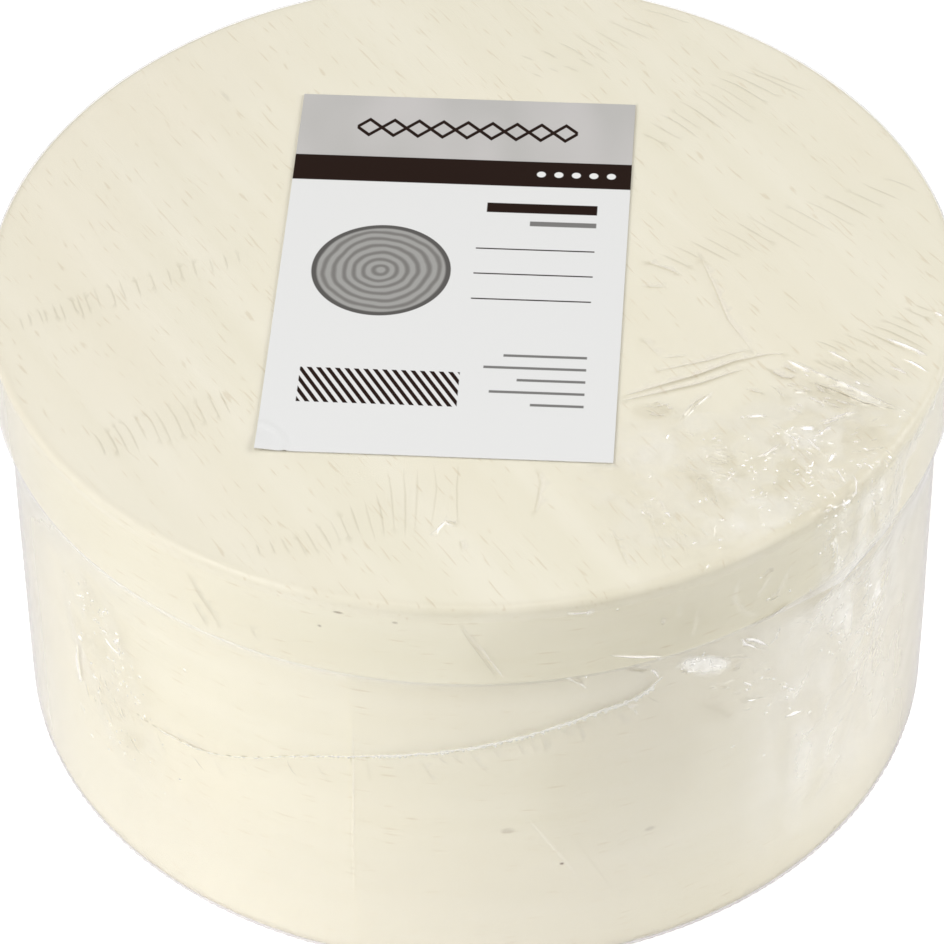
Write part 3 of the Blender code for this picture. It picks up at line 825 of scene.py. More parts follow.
def thicken(shell):
    """Welds a film's open seam and gives it its thickness, with crisp hems."""
    weld(shell, FILM_WELD)
    bmesh.ops.recalc_face_normals(shell, faces=shell.faces)
    shell.normal_update()
    hems = [edge for edge in shell.edges if edge.is_boundary]
    sheet = list(shell.faces)
    outer = {}
    for vert in list(shell.verts):
        outer[vert] = shell.verts.new(vert.co, vert)
        outer[vert].co += vert.normal * FILM_THICKNESS * MM
    for face in sheet:
        shell.faces.new([outer[vert] for vert in face.verts])
    for edge in hems:
        here, there = edge.verts
        shell.faces.new((here, there, outer[there], outer[here]))


def point_tree(points):
    """Finds the nearest of these points on a flattened sheet."""
    tree = kdtree.KDTree(len(points))
    for index, point in enumerate(points):
        tree.insert((point.x, point.y, 0.0), index)
    tree.balance()
    return tree


def resample(path, step):
    """Points at even steps along a path."""
    lengths = [0.0]
    for before, here in zip(path, path[1:]):
        lengths.append(lengths[-1] + (here - before).length)
    count = max(3, round(lengths[-1] / step))
    points = []
    leg = 0
    for index in range(count + 1):
        at = lengths[-1] * index / count
        while leg < len(path) - 2 and lengths[leg + 1] < at:
            leg += 1
        share = (at - lengths[leg]) / max(lengths[leg + 1] - lengths[leg], 0.0001)
        points.append(lerp(path[leg], path[leg + 1], share))
    return points


def ripple(spot, size, seed=0.0):
    """A smooth value of about -1 to 1 that varies over this size, in millimetres."""
    return noise.noise(Vector((spot.x / size, spot.y / size, seed)))


def crinkle(spot, size, seed):
    """Sharp ridges with smooth hollows, from 0 to 1."""
    bend = Vector((ripple(spot, size * 1.7, seed + 5), ripple(spot, size * 1.7, seed + 9)))
    moved = spot + bend * size * 0.7
    return 1.0 - min(1.0, abs(noise.noise(Vector((moved.x / size, moved.y / size, seed)))) * 2.6)


def crumpled(spot, seed, size=1.0):
    """How high crumpled film stands, from 0 to about 1."""
    high = crinkle(spot, 8.0 * size, seed) ** 2 * 0.46
    high += crinkle(spot, 3.6 * size, seed + 20) ** 2 * 0.34
    return high + crinkle(spot, 1.9 * size, seed + 40) ** 2 * 0.20


def blob(spot, centre, reach_x, reach_y, turn=0.0):
    """1 inside an oval, 0 outside it, with a soft edge."""
    away = from_centre(spot, centre, turn)
    far = math.hypot(away.x / reach_x, away.y / reach_y)
    return 1.0 - smooth(*BLOB_EDGE, far)


# The film over the lid.


def cap_place(spot, lift):
    """A point of the flattened cap, on the object."""
    reach = math.hypot(spot[0], spot[1])
    away = Vector((spot[0], spot[1], 0.0)) / max(reach, 0.0001)
    if reach <= CAP_FLAT:
        return Vector((spot[0], spot[1], CAP_TOP + lift))
    if reach <= CAP_FLAT + CAP_ARC:
        turn = (reach - CAP_FLAT) / FILM_ROUNDING
        normal = away * math.sin(turn) + UP * math.cos(turn)
        centre = away * CAP_FLAT + UP * (CAP_TOP - FILM_ROUNDING)
        return centre + normal * (FILM_ROUNDING + lift)
    drop = reach - CAP_FLAT - CAP_ARC
    return away * (CAP_RADIUS + lift) + UP * (CAP_TOP - FILM_ROUNDING - drop)


def on_lid(x, y):
    """A place on the lid, on the flattened cap."""
    return Vector((x, y))


def on_rim(angle, z):
    """A place on the rim's face, on the flattened cap."""
    return polar(CAP_FACE - z, angle).xy


def cap_ear(spot):
    """Where the cap is gathered and crumpled, at the front right corner."""
    lid_part = blob(spot, (41, -37.5), 24, 12.5, 40)
    front = blob(spot, (26, -43), 13, 18, 12) * 0.7
    return max(lid_part, front, blob(spot, on_rim(48, 62), 13, 22, 48))


def under_label(spot):
    """1 under the label, 0 away from it."""
    away = from_centre(spot, LABEL_CENTRE, LABEL_TURN)
    out = max(abs(away.x) - LABEL_WIDTH / 2, abs(away.y) - LABEL_LENGTH / 2)
    return 1.0 - smooth(0.0, 1.2, out)


def cap_lift(spot):
    """How high the cap stands off its smooth shape, apart from its creases."""
    spot = Vector(spot)
    wave = 0.035 + ripple(spot, 17, 3) * 0.05 + ripple(spot, 6, 4) * 0.02
    rough = 0.1 + 0.3 * (1 + ripple(spot, 7, 6)) + 0.3 * crumpled(spot, 1.5)
    high = max(0.0, wave) + cap_ear(spot) * rough
    hem = smooth(CAP_REACH, CAP_REACH - 3, spot.length)
    return lerp(LABEL_SINK, high * (0.35 + 0.65 * hem), 1.0 - under_label(spot))


def cap_spacing(spot):
    """How close together the cap's points are."""
    return SPACINGS[0] if cap_ear(spot) > GATHERED else SPACINGS[1]


def cap_tone(spot):
    """How dark, milky and bright the cap is away from its creases."""
    spot = Vector(spot)
    drop = spot.length - CAP_FLAT
    angle = math.degrees(math.atan2(spot.x, -spot.y))
    below = smooth(0, 1.5, drop)
    # Painted shade: the film over the lid's rounded edge is darkened to dim the edge's highlight, most
    # at the front right, and the rim is darkened in patches at the front right and at the left.
    painted_shade = 0.07 + 0.05 * window(-20, 0, 48, 56, angle)
    painted_shade *= window(-0.5, 0.5, CAP_ARC - 0.3, CAP_ARC + 0.7, drop)
    painted_shade += 0.07 * blob(spot, on_rim(13, 60.5), 21, 9, 13) * below
    painted_shade += 0.03 * blob(spot, on_rim(31, 61), 12, 7, 31) * below
    painted_shade += 0.03 * window(-84, -70, -52, -40, angle) * below
    ear = cap_ear(spot)
    if ear < 0.01:
        return Vector((painted_shade, 0.035 * smooth(-15, -50, spot.x), 0.0))
    fine = crumpled(spot, 2.5, 0.8)
    pale = smooth(0.30, 0.75, 0.5 + ripple(spot, 4.5, 12) + 0.4 * ripple(spot, 1.9, 15))
    dark = ear * (0.035 + 0.035 * (1 - pale) + 0.14 * smooth(0.45, 0.8, fine))
    bright = ear * (0.02 + 0.075 * pale)
    for centre, wide, high, turn, level in LID_SHADES:
        part = blob(spot, centre, wide, high, turn) * (0.5 + fine)
        dark += level * part
        bright -= level * part
    if drop > 0:
        streak = 0.5 + ripple(Vector((angle, drop * 0.25)), 2.4, 2) + 0.3 * ripple(spot, 1.2, 7)
        bright = window(40, 46, 62, 78, angle) * smooth(0.8, 3.5, drop) * (0.08 + 0.15 * streak)
        for angle_at, z, wide, high, level in RIM_SHADES:
            bright += level * blob(spot, on_rim(angle_at, z), wide, high, angle_at) * (0.4 + fine)
        dark *= 0.6
    return Vector((min(1.0, max(0.0, dark) + painted_shade), 0.0, min(1.0, max(0.0, bright))))


def add_lid_creases(sheet):
    """Every band of creases on the lid, evenly spaced and no two of them alike."""
    for count, dark, first, middle, last in LID_CREASES:
        for index in range(count):
            share = 2 * index / (count - 1)
            before, after = (first, middle) if share < 1 else (middle, last)
            ends = [lerp(a, b, share % 1 if index < count - 1 else 1.0) for a, b in zip(before, after)]
            start = Vector(ends[:2]) + Vector((random.uniform(-0.25, 0.25), random.uniform(-0.4, 0.4)))
            run = (Vector(ends[2:]) - Vector(ends[:2])) * random.uniform(0.8, 1.05)
            bend = Vector((-run.y, run.x)) * random.uniform(-0.02, 0.05)
            path = [start, start + run * 0.35 + bend, start + run * 0.7 + bend * 0.6, start + run]
            if max(spot.length for spot in path) > CAP_FLAT - 0.1:
                continue
            if max(under_label(spot) for spot in path) > 0.5:
                continue
            sheet.crease(
                path, random.uniform(0.05, 0.10), random.uniform(0.18, 0.26),
                (dark * random.uniform(0.6, 1.2),), random.uniform(-0.3, 0.3),
            )


def build_cap():
    """The whole film cap, with its creases, its arched fold and its gathered corner."""
    random.seed(11)
    sheet = Sheet(cap_lift, cap_spacing, cap_tone, CAP_GLEAM)
    hem = [polar(CAP_REACH, angle).xy for angle in range(360)]
    sheet.line(hem, closed=True)
    sheet.marks += hem
    for row in range(-1, CAP_ROWS + 2):
        reach = CAP_FLAT + CAP_ARC * row / CAP_ROWS
        sheet.dot([polar(reach, angle).xy for angle in range(360)])
    add_lid_creases(sheet)
    for row in LID_FOLDS:
        sheet.fold(row, on_lid, random.uniform(-0.3, 0.3))
    for row in RIM_FOLDS:
        sheet.fold(row, on_rim)
    sheet.wrinkles((24.5, -47), (7, 9), 26, -68, 3.6, 0.18)
    sheet.wrinkles((36, -38), (10, 7), 32, -35, 2.8, 0.17)
    sheet.wrinkles((46, -26.5), (5.5, 3), 24, -35, 2.6, 0.55)
    sheet.wrinkles((50.5, -34.5), (4, 3.5), 12, 20, 2.4, 0.30)
    sheet.wrinkles((23.6, -28.9), (2.4, 1.2), 8, 0, 1.8, 0.40)
    sheet.single_glints(LID_GLINTS, on_lid)
    sheet.single_glints(RIM_GLINTS, on_rim)
    sheet.glints([(40.4, -33.8), (43.6, -34.8)], 1.1, 18, 1.3)
    sheet.glints([(52.5, -37.6), (50.2, -40.6)], 1.0, 20, 1.4)
    sheet.glints([(28, -38), (45, -42)], 4.5, 60, 1.1)
    sheet.glints([(45, -38), (42, -46)], 2.2, 26, 1.3)
    sheet.glints([on_rim(43, 67.5), on_rim(46, 56.5)], 1.8, 30, 1.5)
    sheet.glints([on_rim(51, 66), on_rim(55, 57)], 1.8, 26, 1.5)
    span = CAP_REACH + 1
    sheet.fill((-span, -span), (span, span), lambda spot: spot.length < CAP_REACH - HEM_GAP)
    return sheet.build("film_cap_skin", cap_place)


# The film round the side and under the bottom.


def on_side(angle, z):
    """A place on the side, on the flattened sleeve."""
    return Vector((math.radians(angle) * SIDE_FILM_RADIUS, SIDE_ARC + z - SIDE_START))


def side_angle(spot):
    """The angle of a place on the flattened sleeve."""
    return math.degrees(spot[0] / SIDE_FILM_RADIUS)


def side_place(spot, lift):
    """A point of the flattened sleeve, on the object."""
    along = spot[1]
    if along < SIDE_ARC:
        turn = along / SIDE_ROUNDING
        radius = SIDE_FILM_RADIUS - SIDE_ROUNDING + math.sin(turn) * (SIDE_ROUNDING + lift)
        return polar(radius, side_angle(spot), SIDE_START - math.cos(turn) * (SIDE_ROUNDING + lift))
    z = along - SIDE_ARC + SIDE_START
    share = max(0.0, (z - NECK_START) / (NECK_LENGTH + NECK_LIP))
    return polar(SIDE_FILM_RADIUS + NECK_FLARE * share ** 1.6 + lift, side_angle(spot), z)


def side_ear(spot):
    """Where the side film is gathered: under the right corner and at the left."""
    right = blob(spot, on_side(49, 41), 14, 22)
    right_low = blob(spot, on_side(46, 24), 9, 14, -15) * 0.6
    left = blob(spot, on_side(-51, 38), 10, 13, 20) * 0.8
    left_low = blob(spot, on_side(-47, 26), 8, 9, 30) * 0.6
    return max(right, right_low, left, left_low)


def side_lift(spot):
    """How high the sleeve stands off its smooth shape, apart from its creases."""
    spot = Vector(spot)
    place = side_place(spot, 0.0)
    wave = 0.05 + noise.noise(place / 14) * 0.07 + noise.noise(place / 5) * 0.02
    folds = 0.26 if spot.x > 0 else 0.12
    rough = 0.08 + 0.18 * (1 + ripple(spot, 6, 8)) + folds * crumpled(spot, 7.5, 0.8)
    high = max(0.0, wave) + side_ear(spot) * rough
    hem = smooth(SIDE_REACH, SIDE_REACH - 3, spot.y)
    angle = side_angle(spot)
    swell = window(33, 46, 80, 96, angle) + 0.6 * window(-96, -80, -50, -34, angle)
    swell *= smooth(SIDE_REACH - 10, SIDE_REACH - 0.6, spot.y)
    return high * (0.2 + 0.8 * hem) * smooth(0.5, 7, spot.y) + swell


def side_spacing(spot):
    """How close together the sleeve's points are."""
    if side_ear(spot) > GATHERED:
        return SPACINGS[0]
    if abs(spot[0]) < HALF_ROUND * 0.46:
        return SPACINGS[1]
    return SPACINGS[2]


def side_tone(spot):
    """How dark, milky and bright the sleeve is away from its folds."""
    spot = Vector(spot)
    ear = side_ear(spot)
    angle = side_angle(spot)
    # Painted light: the film just under the rim is made brighter at the front and left, over the rim's
    # shadow.
    neck = 0.10 + 0.12 * smooth(-10, -26, angle)
    neck *= smooth(SIDE_REACH - 2.4, SIDE_REACH - 0.6, spot.y) * smooth(6, -10, angle)
    milky = 0.045 + 0.45 * smooth(1.2, 0.2, spot.y)
    milky += 0.04 * smooth(30, 10, spot.y) * window(-60, -45, 10, 30, angle)
    if ear < 0.01 and not 3 < angle < 90:
        return Vector((0.0, milky, neck))
    fine = crumpled(spot, 7.5, 0.8)
    cloud = 0.5 + ripple(Vector((spot.x, spot.y * 0.4)), 3.5, 3)
    pale = smooth(0.35, 0.7, cloud)
    dark = ear * (0.02 + 0.04 * (1 - pale) + 0.08 * smooth(0.5, 0.85, fine))
    bright = neck + ear * 0.05 * pale
    dark += 0.14 * blob(spot, on_side(-56.3, 24), 2.4, 5) * (0.5 + fine)
    dark += 0.06 * blob(spot, on_side(-50, 28.5), 3.5, 5.5, -40) * (0.5 + fine)
    dark += 0.08 * blob(spot, on_side(-46.4, 23.6), 1.5, 4, -45)
    if angle > 0:
        haze = window(30, 44, 56, 80, angle) * smooth(0, 20, spot.y)
        haze *= 1 - 0.6 * smooth(SIDE_REACH - 5.5, SIDE_REACH - 2, spot.y)
        bright = haze * (0.12 + 0.11 * cloud + 0.05 * fine)
        bright += 0.05 * window(6, 20, 34, 44, angle) * smooth(2, 20, spot.y)
        bright += 0.32 * blob(spot, on_side(27.6, 49.4), 4.6, 1.5, -28)
        for angle_at, z, wide, high, level in SIDE_SHADES:
            bright += level * blob(spot, on_side(angle_at, z), wide, high) * (0.4 + fine)
        dark += 0.08 * blob(spot, on_side(29.5, 39.5), 4.5, 1.6, -45)
        # Painted shade: a broad darker patch right of the front, darker just under the rim at the right
        # front, and darker towards the far right edge.
        dark += 0.06 * blob(spot, on_side(17, 33), 13, 18)
        dark += 0.07 * window(57, 68, 80, 90, angle) + 0.04 * window(64, 72, 80, 90, angle)
        dark += 0.03 * window(8, 16, 26, 34, angle) * smooth(24, 36, spot.y)
    return Vector((min(1.0, max(0.0, dark)), milky, min(1.0, max(0.0, bright))))


def seam_height(angle):
    """The height of the weld seam at an angle, on a smooth curve."""
    last = len(SEAM) - 2
    index = next((i for i in range(last + 1) if angle <= SEAM[i + 1][0]), last)
    before, here, there, after = (SEAM[min(max(index + k, 0), last + 1)] for k in (-1, 0, 1, 2))
    span = there[0] - here[0]
    share = (angle - here[0]) / span
    leaving = span * (there[1] - before[1]) / (there[0] - before[0])
    arriving = span * (after[1] - here[1]) / (after[0] - here[0])
    square, cube = share ** 2, share ** 3
    value = here[1] * (2 * cube - 3 * square + 1) + leaving * (cube - 2 * square + share)
    value += there[1] * (3 * square - 2 * cube) + arriving * (cube - square)
    return value


def add_seam_pleats(sheet):
    """Short pleats and dark dashes along the seam, where the weld has drawn the film in."""
    angle = -50.0
    while angle < 21:
        z = seam_height(angle) - random.uniform(0.5, 1.2)
        length = random.uniform(1.5, 4.5)
        slant = random.uniform(0.5, 2.6)
        path = [on_side(angle, z), on_side(angle + slant * 0.5, z - length * 0.55),
                on_side(angle + slant, z - length)]
        dark = random.uniform(0.06, 0.22)
        sheet.crease(path, random.uniform(0.05, 0.12), random.uniform(0.14, 0.24),
                     (dark,), random.uniform(-0.4, 0.4), dark * 0.5)
        angle += random.uniform(1.4, 3.0) * (1.0 if angle > -7 else 2.2)
    angle = -45.0
    while angle < 20:
        half = random.uniform(0.2, 0.7)
        low = random.uniform(0.0, 0.12) + 0.34 * smooth(-26, -8, angle)
        path = [on_side(at, seam_height(at) - low) for at in (angle - half, angle + half)]
        width = random.uniform(0.16, 0.28)
        dark = lerp(random.uniform(0.4, 1.0), 1.0, 0.6 * smooth(-12, -20, angle))
        sheet.crease(path, 0.06, width, (dark,))
        angle += random.uniform(1.3, 2.2) + (0.8 if angle > -20 else 0.0)


def build_sleeve():
    """The film round the side, with its folds, its pleats and its two gathered corners."""
    random.seed(23)
    sheet = Sheet(side_lift, side_spacing, side_tone, SIDE_GLEAM)
    rungs = round(SIDE_REACH / FOLD_STEP)
    for sign in (-1, 1):
        seam = [Vector((HALF_ROUND * sign, SIDE_REACH * i / rungs)) for i in range(rungs + 1)]
        sheet.line(seam)
        sheet.marks += seam
    for along in (0.0, SIDE_REACH):
        sheet.dot([Vector((HALF_ROUND * (2 * i / SIDE_COLUMNS - 1), along))
                   for i in range(1, SIDE_COLUMNS)])
    for row in range(1, SIDE_ROWS + 1):
        sheet.dot([Vector((HALF_ROUND * (2 * (i + 0.5) / SIDE_COLUMNS - 1), SIDE_ARC * row / SIDE_ROWS))
                   for i in range(SIDE_COLUMNS)])
    for row in SIDE_FOLDS:
        sheet.fold(row, on_side)
    add_seam_pleats(sheet)
    sheet.single_glints(SIDE_GLINTS, on_side)
    sheet.glints([on_side(-56, 43), on_side(-50, 45)], 1.0, 12, 0.8)
    sheet.glints([on_side(-52.5, 43), on_side(-47.5, 38), on_side(-46, 30)], 2.2, 50, 0.8)
    sheet.glints([on_side(-51, 26), on_side(-44, 19)], 2.2, 16, 0.7)
    sheet.wrinkles(on_side(-50, 29), (4.5, 7), 18, -55, 2.0, 0.12)
    sheet.wrinkles(on_side(33, 43), (7, 6), 22, -25, 3.0, 0.18)
    sheet.glints([on_side(24.5, 51), on_side(28, 49.6), on_side(31, 48.4)], 0.8, 26, 1.3)
    sheet.glints([on_side(32.5, 43), on_side(38.5, 39), on_side(41.5, 35.5)], 0.9, 16, 1.0)
    sheet.glints([on_side(47, 51), on_side(48.5, 44), on_side(48, 37)], 1.6, 34, 1.2)
    sheet.glints([on_side(54, 46), on_side(56, 34)], 1.5, 24, 1.4)
    sheet.fill(
        (-HALF_ROUND, 0.0), (HALF_ROUND, SIDE_REACH),
        lambda spot: abs(spot.x) < HALF_ROUND - SEAM_GAP
        and SIDE_ARC + FOOT_GAP < spot.y < SIDE_REACH - HEM_GAP,
    )
    return sheet.build("film_side_skin", side_place)


def build_bottom_film():
    """The film under the bottom, drawn flat, with low waves towards its rounded edge."""
    radius = SIDE_FILM_RADIUS - SIDE_ROUNDING + 0.1
    verts = [(0.0, 0.0, BOTTOM_HEIGHT)]
    faces = []
    for share in BOTTOM_RINGS:
        for step in range(BOTTOM_STEPS):
            spot = polar(radius * share, 360 * step / BOTTOM_STEPS)
            wave = 0.05 * (1 + noise.noise(spot / 9)) * smooth(0.3, 0.9, share)
            verts.append(spot + UP * (BOTTOM_HEIGHT + wave + (0.08 if share == 1 else 0.0)))
    for step in range(BOTTOM_STEPS):
        after = (step + 1) % BOTTOM_STEPS
        faces.append((0, 1 + after, 1 + step))
        for index in range(len(BOTTOM_RINGS) - 1):
            a = 1 + index * BOTTOM_STEPS
            b = a + BOTTOM_STEPS
            faces.append((a + step, a + after, b + after, b + step))
    return finish_film("film_bottom_skin", verts, faces, [CLEAR] * len(verts))


def build_bead():
    """The weld's bead: a fine jagged line of melted film, rough along its lower side."""
    random.seed(31)
    verts = []
    first, last = BEAD_START, SEAM[-1][0]
    count = round(math.radians(last - first) * SIDE_FILM_RADIUS / BEAD_STEP)
    for index in range(count + 1):
        share = index / count
        angle = lerp(first, last, share)
        rise = seam_height(angle + 0.2) - seam_height(angle - 0.2)
        slope = math.atan(rise / (math.radians(0.4) * SIDE_FILM_RADIUS))
        taper = smooth(0, 0.04, share) * smooth(1, 0.97, share)
        taper *= 0.1 + 0.9 * smooth(-30, 2, angle)
        taper *= 1 + 0.5 * smooth(8, 20, angle)
        thick = random.uniform(0.05, 0.19) * (0.3 + 0.7 * taper)
        if noise.noise(Vector((angle * 0.8, 0.0, 4.0))) > 0:
            thick *= 1 - 0.8 * smooth(-10, -18, angle)
        tooth = random.uniform(0.0, 0.6 if index % 2 else 0.15)
        centre = seam_height(angle) + random.uniform(-0.09, 0.09)
        for place in range(BEAD_CORNERS):
            turn = math.tau * place / BEAD_CORNERS
            out = thick * math.cos(turn)
            up = thick * 1.25 * math.sin(turn)
            if place == BEAD_TOOTH:
                up -= tooth * taper
                out += 0.1 * tooth
            side = math.degrees(-math.sin(slope) * up / SIDE_FILM_RADIUS)
            radius = SIDE_FILM_RADIUS + BEAD_STANDOFF + out
            verts.append(polar(radius, angle + side, centre + math.cos(slope) * up))
    faces = []
    for index in range(count):
        a, b = index * BEAD_CORNERS, (index + 1) * BEAD_CORNERS
        for place in range(BEAD_CORNERS):
            after = (place + 1) % BEAD_CORNERS
            faces.append((a + place, b + place, b + after, a + after))
    faces.append(tuple(range(BEAD_CORNERS)))
    faces.append(tuple(reversed(range(count * BEAD_CORNERS, (count + 1) * BEAD_CORNERS))))
    thing = new_object("film_seal_line", verts, faces, 40)
    reshape(thing)
    return thing


# The paper label.


def label_place(u, v, z):
    """A point of the label, counted from its middle, on the object."""
    turn = math.radians(LABEL_TURN)
    return Vector((
        LABEL_CENTRE.x + u * math.cos(turn) - v * math.sin(turn),
        LABEL_CENTRE.y + u * math.sin(turn) + v * math.cos(turn),
        z,
    ))


def build_label():
    """The label as thin paper, a little wavy, with its lower left corner creased up."""
    base = CAP_TOP + LABEL_SINK + FILM_THICKNESS + LABEL_GAP
    verts = []
    for level in (LABEL_THICKNESS, 0.0):
        for j in range(LABEL_ROWS + 1):
            for i in range(LABEL_COLUMNS + 1):
                u = LABEL_WIDTH * (i / LABEL_COLUMNS - 0.5)
                v = LABEL_LENGTH * (j / LABEL_ROWS - 0.5)
                wave = 0.03 * (1 + noise.noise(Vector((u / 16, v / 16, 8.0))))
                from_corner = math.hypot(u + LABEL_WIDTH / 2 + 1, v + LABEL_LENGTH / 2 - 0.3)
                curl = 0.35 * (1 - smooth(0.5, 5.2, from_corner))
                curl += 0.22 * math.exp(-((from_corner - 4.9) / 0.34) ** 2)
                verts.append(label_place(u, v, base + level + wave + curl))
    row = LABEL_COLUMNS + 1
    under = row * (LABEL_ROWS + 1)
    faces = []
    for j in range(LABEL_ROWS):
        for i in range(LABEL_COLUMNS):
            a = j * row + i
            b = a + under
            faces.append((a, a + 1, a + row + 1, a + row))
            faces.append((b, b + row, b + row + 1, b + 1))
    rim = list(range(row))
    rim += [j * row + LABEL_COLUMNS for j in range(1, LABEL_ROWS + 1)]
    rim += [LABEL_ROWS * row + i for i in range(LABEL_COLUMNS - 1, -1, -1)]
    rim += [j * row for j in range(LABEL_ROWS - 1, 0, -1)]
    for here, there in zip(rim, rim[1:] + rim[:1]):
        faces.append((here, here + under, there + under, there))
    thing = new_object("label_paper_sheet", verts, faces, 40)
    layer = thing.data.uv_layers.new(name="print")
    for loop in thing.data.loops:
        place = thing.data.vertices[loop.vertex_index].co.xy / MM
        spot = from_centre(place, LABEL_CENTRE, LABEL_TURN)
        layer.data[loop.index].uv = (
            (spot.x + LABEL_WIDTH / 2) / 100, (spot.y + LABEL_LENGTH / 2) / 100)
    return thing


def label_print():
    """Coated paper with a plain printed design: a grey head, a dark strip, rings, rules and bars."""
    paint = Paint(bpy.data.materials.new("label_print"))
    mix, ramp, times, minus = paint.mix, paint.ramp, paint.times, paint.minus
    place = paint.node("UVMap", uv_map="print")
    x, y = (times(paint.node("SeparateXYZ", {0: place}, out), 100) for out in (0, 1))

    def between(value, low, high, soft=0.06):
        rising = ramp(value, low - soft, low + soft)
        return times(rising, ramp(value, high - soft, high + soft, 1, 0))

    def bar(x_low, x_high, y_low, y_high):
        return times(between(x, x_low, x_high), between(y, y_low, y_high))

    def away(x_at, y_at):
        flat = paint.node("CombineXYZ", {0: minus(x, x_at), 1: minus(y, y_at)})
        return paint.length(flat)

    ink = srgb(27, 12, 5)
    grey = srgb(120, 119, 117)
    fibres = paint.noise(place, 900, 3)
    look = mix(ramp(fibres, 0.3, 0.7, 0, 0.25), srgb(224, 224, 223), srgb(218, 218, 216))
    patches = paint.noise(paint.stretch(place, (1, 0.35, 1)), 9, 1)
    head = mix(ramp(patches, 0.40, 0.62), srgb(184, 182, 179), srgb(194, 191, 189))
    look = mix(ramp(y, 60.44, 60.56), look, head)
    look = mix(between(y, 55.1, 60.5), look, ink)
    # A row of diamonds on the head.
    wave = paint.math("PINGPONG", minus(x, 8), 1.7)
    level = paint.math("ABSOLUTE", minus(paint.math("ABSOLUTE", minus(y, 66.9)), wave))
    zigzag = times(ramp(level, 0.34, 0.44, 1, 0), bar(8, 38.6, 64.8, 69))
    look = mix(zigzag, look, ink)
    # Dots on the strip.
    for step in range(5):
        dot = ramp(away(34 + 2.4 * step, 57.8), 0.55, 0.67, 1, 0)
        look = mix(dot, look, srgb(228, 228, 226))
    # A ringed disc.
    far = away(13.6, 36.5)
    bent = paint.math("ADD", far, times(paint.noise(place, 14), 1.6))
    rings = paint.math("SINE", times(bent, 4.6))
    tone = mix(ramp(rings, -0.6, 0.9), srgb(158, 157, 154), srgb(122, 120, 117))
    tone = mix(ramp(far, 8.5, 8.8), tone, srgb(88, 86, 84))
    look = mix(ramp(far, 9.3, 9.42, 1, 0), look, tone)
    # Rules that end at the right: where each starts, its lower and upper edge, and its ink.
    for start, y_low, y_high, tint in (
        (27, 49.4, 51.4, ink), (33, 46.7, 47.7, grey), (26, 41.6, 41.85, ink), (26, 36.4, 36.65, ink),
        (26, 31.2, 31.45, ink), (31, 19.8, 20.3, grey), (28.5, 17.4, 17.9, grey),
        (33, 15, 15.5, grey), (29.5, 12.6, 13.1, grey), (35, 10.2, 10.7, grey),
    ):
        look = mix(bar(start, 42, y_low, y_high), look, tint)
    # A hatched bar.
    slanted = paint.math("ADD", x, times(y, 0.6))
    hatch = ramp(paint.math("PINGPONG", slanted, 0.62), 0.26, 0.34)
    look = mix(times(hatch, bar(4.5, 25.5, 9.6, 16.4)), look, ink)
    return paint.finish_surface(look, 0.5, 0.06, fibres, PAPER_DEPTH, 0.4)


# Camera, light and floor.


def add_camera():
    """The camera, at the photograph's place, angle and framing."""
    data = bpy.data.cameras.new("camera")
    data.sensor_width = 36
    data.sensor_fit = "HORIZONTAL"
    data.lens = FOCAL_PIXELS / PHOTO_SIDE * data.sensor_width
    data.clip_start = 0.01
    data.clip_end = 50
    ahead = Vector((
        math.sin(CAMERA_YAW) * math.cos(CAMERA_PITCH),
        math.cos(CAMERA_YAW) * math.cos(CAMERA_PITCH),
        -math.sin(CAMERA_PITCH),
    ))
    right = ahead.cross(UP).normalized()
    up = right.cross(ahead)
    across = right * math.cos(CAMERA_ROLL) + up * math.sin(CAMERA_ROLL)
    above = up * math.cos(CAMERA_ROLL) - right * math.sin(CAMERA_ROLL)
    camera = bpy.data.objects.new("camera", data)
    turn = Matrix((across, above, -ahead)).transposed().to_4x4()
    camera.matrix_world = Matrix.Translation(CAMERA_PLACE * MM) @ turn
    bpy.context.scene.collection.objects.link(camera)
    bpy.context.scene.camera = camera


def add_lamp(name, angle, height, distance, watts):
    """A soft square lamp that faces the set, with its distance in metres."""
    data = bpy.data.lights.new(name, "AREA")
    data.shape = "SQUARE"
    data.size = 0.38 * distance + 0.1
    data.energy = watts
    lamp = bpy.data.objects.new(name, data)
    rise = math.radians(height)
    lamp.location = polar(distance * math.cos(rise), angle, distance * math.sin(rise))
    lamp.rotation_euler = (LAMP_TARGET - lamp.location).to_track_quat("-Z", "Y").to_euler()
    bpy.context.scene.collection.objects.link(lamp)


def add_world():
    """White to the eye, and a soft even light for everything else."""
    world = bpy.data.worlds.new("white_room")
    bpy.context.scene.world = world
    paint = Paint(world, "OutputWorld")
    level = paint.ramp(paint.seen(), 0, 1, AMBIENT, 1)
    paint.finish(paint.node("Background", {"Color": WHITE, "Strength": level}))


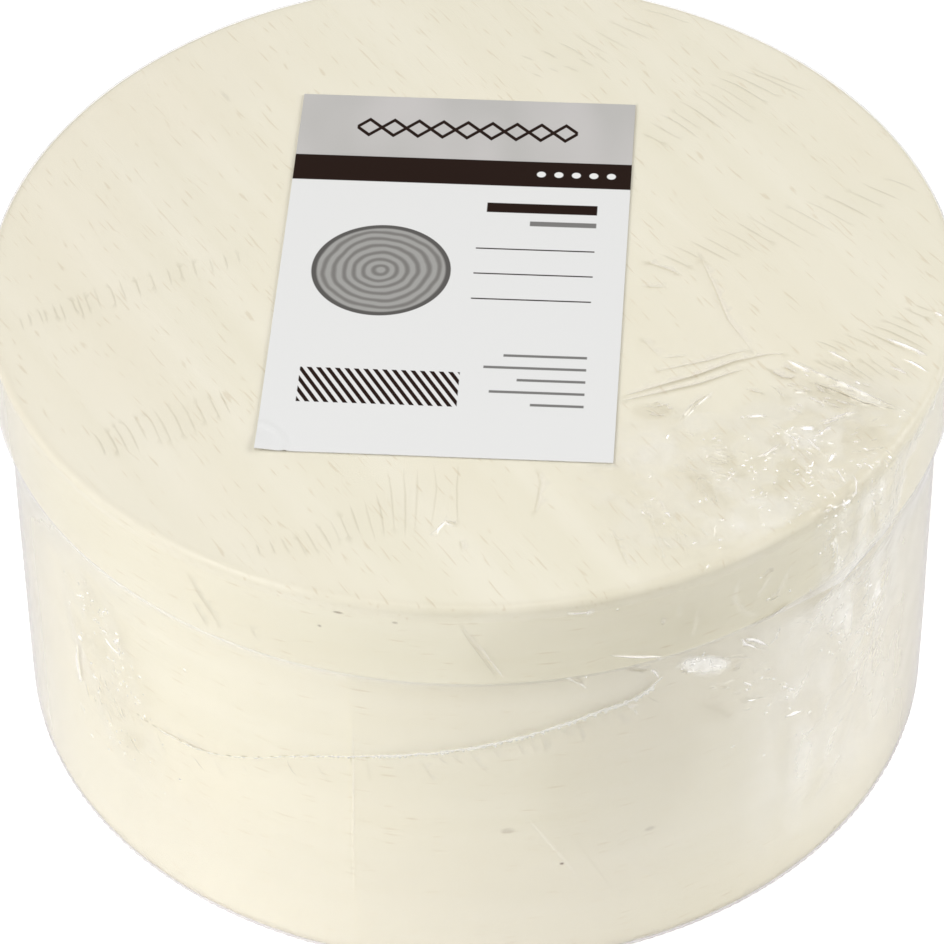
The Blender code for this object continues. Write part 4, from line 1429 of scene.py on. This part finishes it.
def add_floor():
    """A pale floor that looks white where no shadow falls, and glows near the box as painted bounce
    light.
    """
    corners = [(-3000, -3000, 0), (3000, -3000, 0), (3000, 3000, 0), (-3000, 3000, 0)]
    floor = new_object("floor", corners, [(0, 1, 2, 3)])
    paint = Paint(bpy.data.materials.new("floor_white"))
    place = paint.node("TexCoord", out="Object")
    tone = paint.mix(paint.noise(place, 3), (0.90, 0.90, 0.90, 1), (0.92, 0.92, 0.92, 1))
    # Near the box the floor glows for the rays that light things, as painted bounce light on the box's
    # lower side.
    bounce = paint.ramp(paint.length(place), 0.10, 0.24, FLOOR_BOUNCE, 0)
    seen = paint.seen()
    hidden = paint.times(bounce, paint.minus(1, seen))
    level = paint.math("ADD", paint.times(seen, FLOOR_GLOW), hidden)
    matt = paint.node("BsdfDiffuse", {"Color": tone})
    glow = paint.node("Emission", {"Color": WHITE, "Strength": level})
    floor.data.materials.append(paint.finish(paint.node("AddShader", {0: matt, 1: glow})))


bpy.context.scene.view_settings.view_transform = "Standard"
add_camera()
add_world()
add_floor()
for lamp in LAMPS:
    add_lamp(*lamp)

disc_wood = wood("chipwood_disc", DISC_COLOUR, DISC_SPECKS, 0.5, False)
band_wood = wood("chipwood_band", BAND_COLOUR, BAND_SPECKS, 0.1, True)
for size, box_body, lid_body, side_lap, rim_lap in SETS:
    lid_node = size + "_lid_disc"
    lid_low, lid_high = node_box(lid_node)
    lid_radius = (lid_high.x - lid_low.x) / 2
    side_radius = lid_radius - BAND_THICKNESS - LAP_STEP - LID_PLAY
    disc(size + "_lid_top", lid_node, lid_body, disc_wood, *LID_EDGES)
    disc(size + "_bottom", size + "_bottom_disc", box_body, disc_wood, *BOTTOM_EDGES)
    rim_foot = node_box(size + "_lid_band")[0].z
    side_low, side_high = node_box(size + "_side_band")
    band(size + "_lid_rim", size + "_lid_band", lid_body, band_wood, lid_radius, rim_lap,
         rim_foot, RIM_LIPS[0], lid_low.z, RIM_LIPS[1])
    band(size + "_side", size + "_side_band", box_body, band_wood, side_radius, side_lap,
         side_low.z - SIDE_DROP, SIDE_LIPS[0], side_high.z, SIDE_LIPS[1])

film_look = film("clear_shrink_film", 0.025, 0.2, (0.91, 0.875, 0.88, 1))
bead_look = film("welded_film_bead", 0.30, 0.18, (0.93, 0.93, 0.90, 1))
dress(build_cap(), film_look, "film_cap", "clear_film", "film_cap")
dress(build_sleeve(), film_look, "large_box", "clear_film", "film_side_sleeve")
dress(build_bottom_film(), film_look, "large_box", "clear_film", "film_bottom_sheet")
dress(build_bead(), bead_look, "large_box", "welded_film", "film_seal_bead")
dress(build_label(), label_print(), "film_cap", "label_paper", "label")
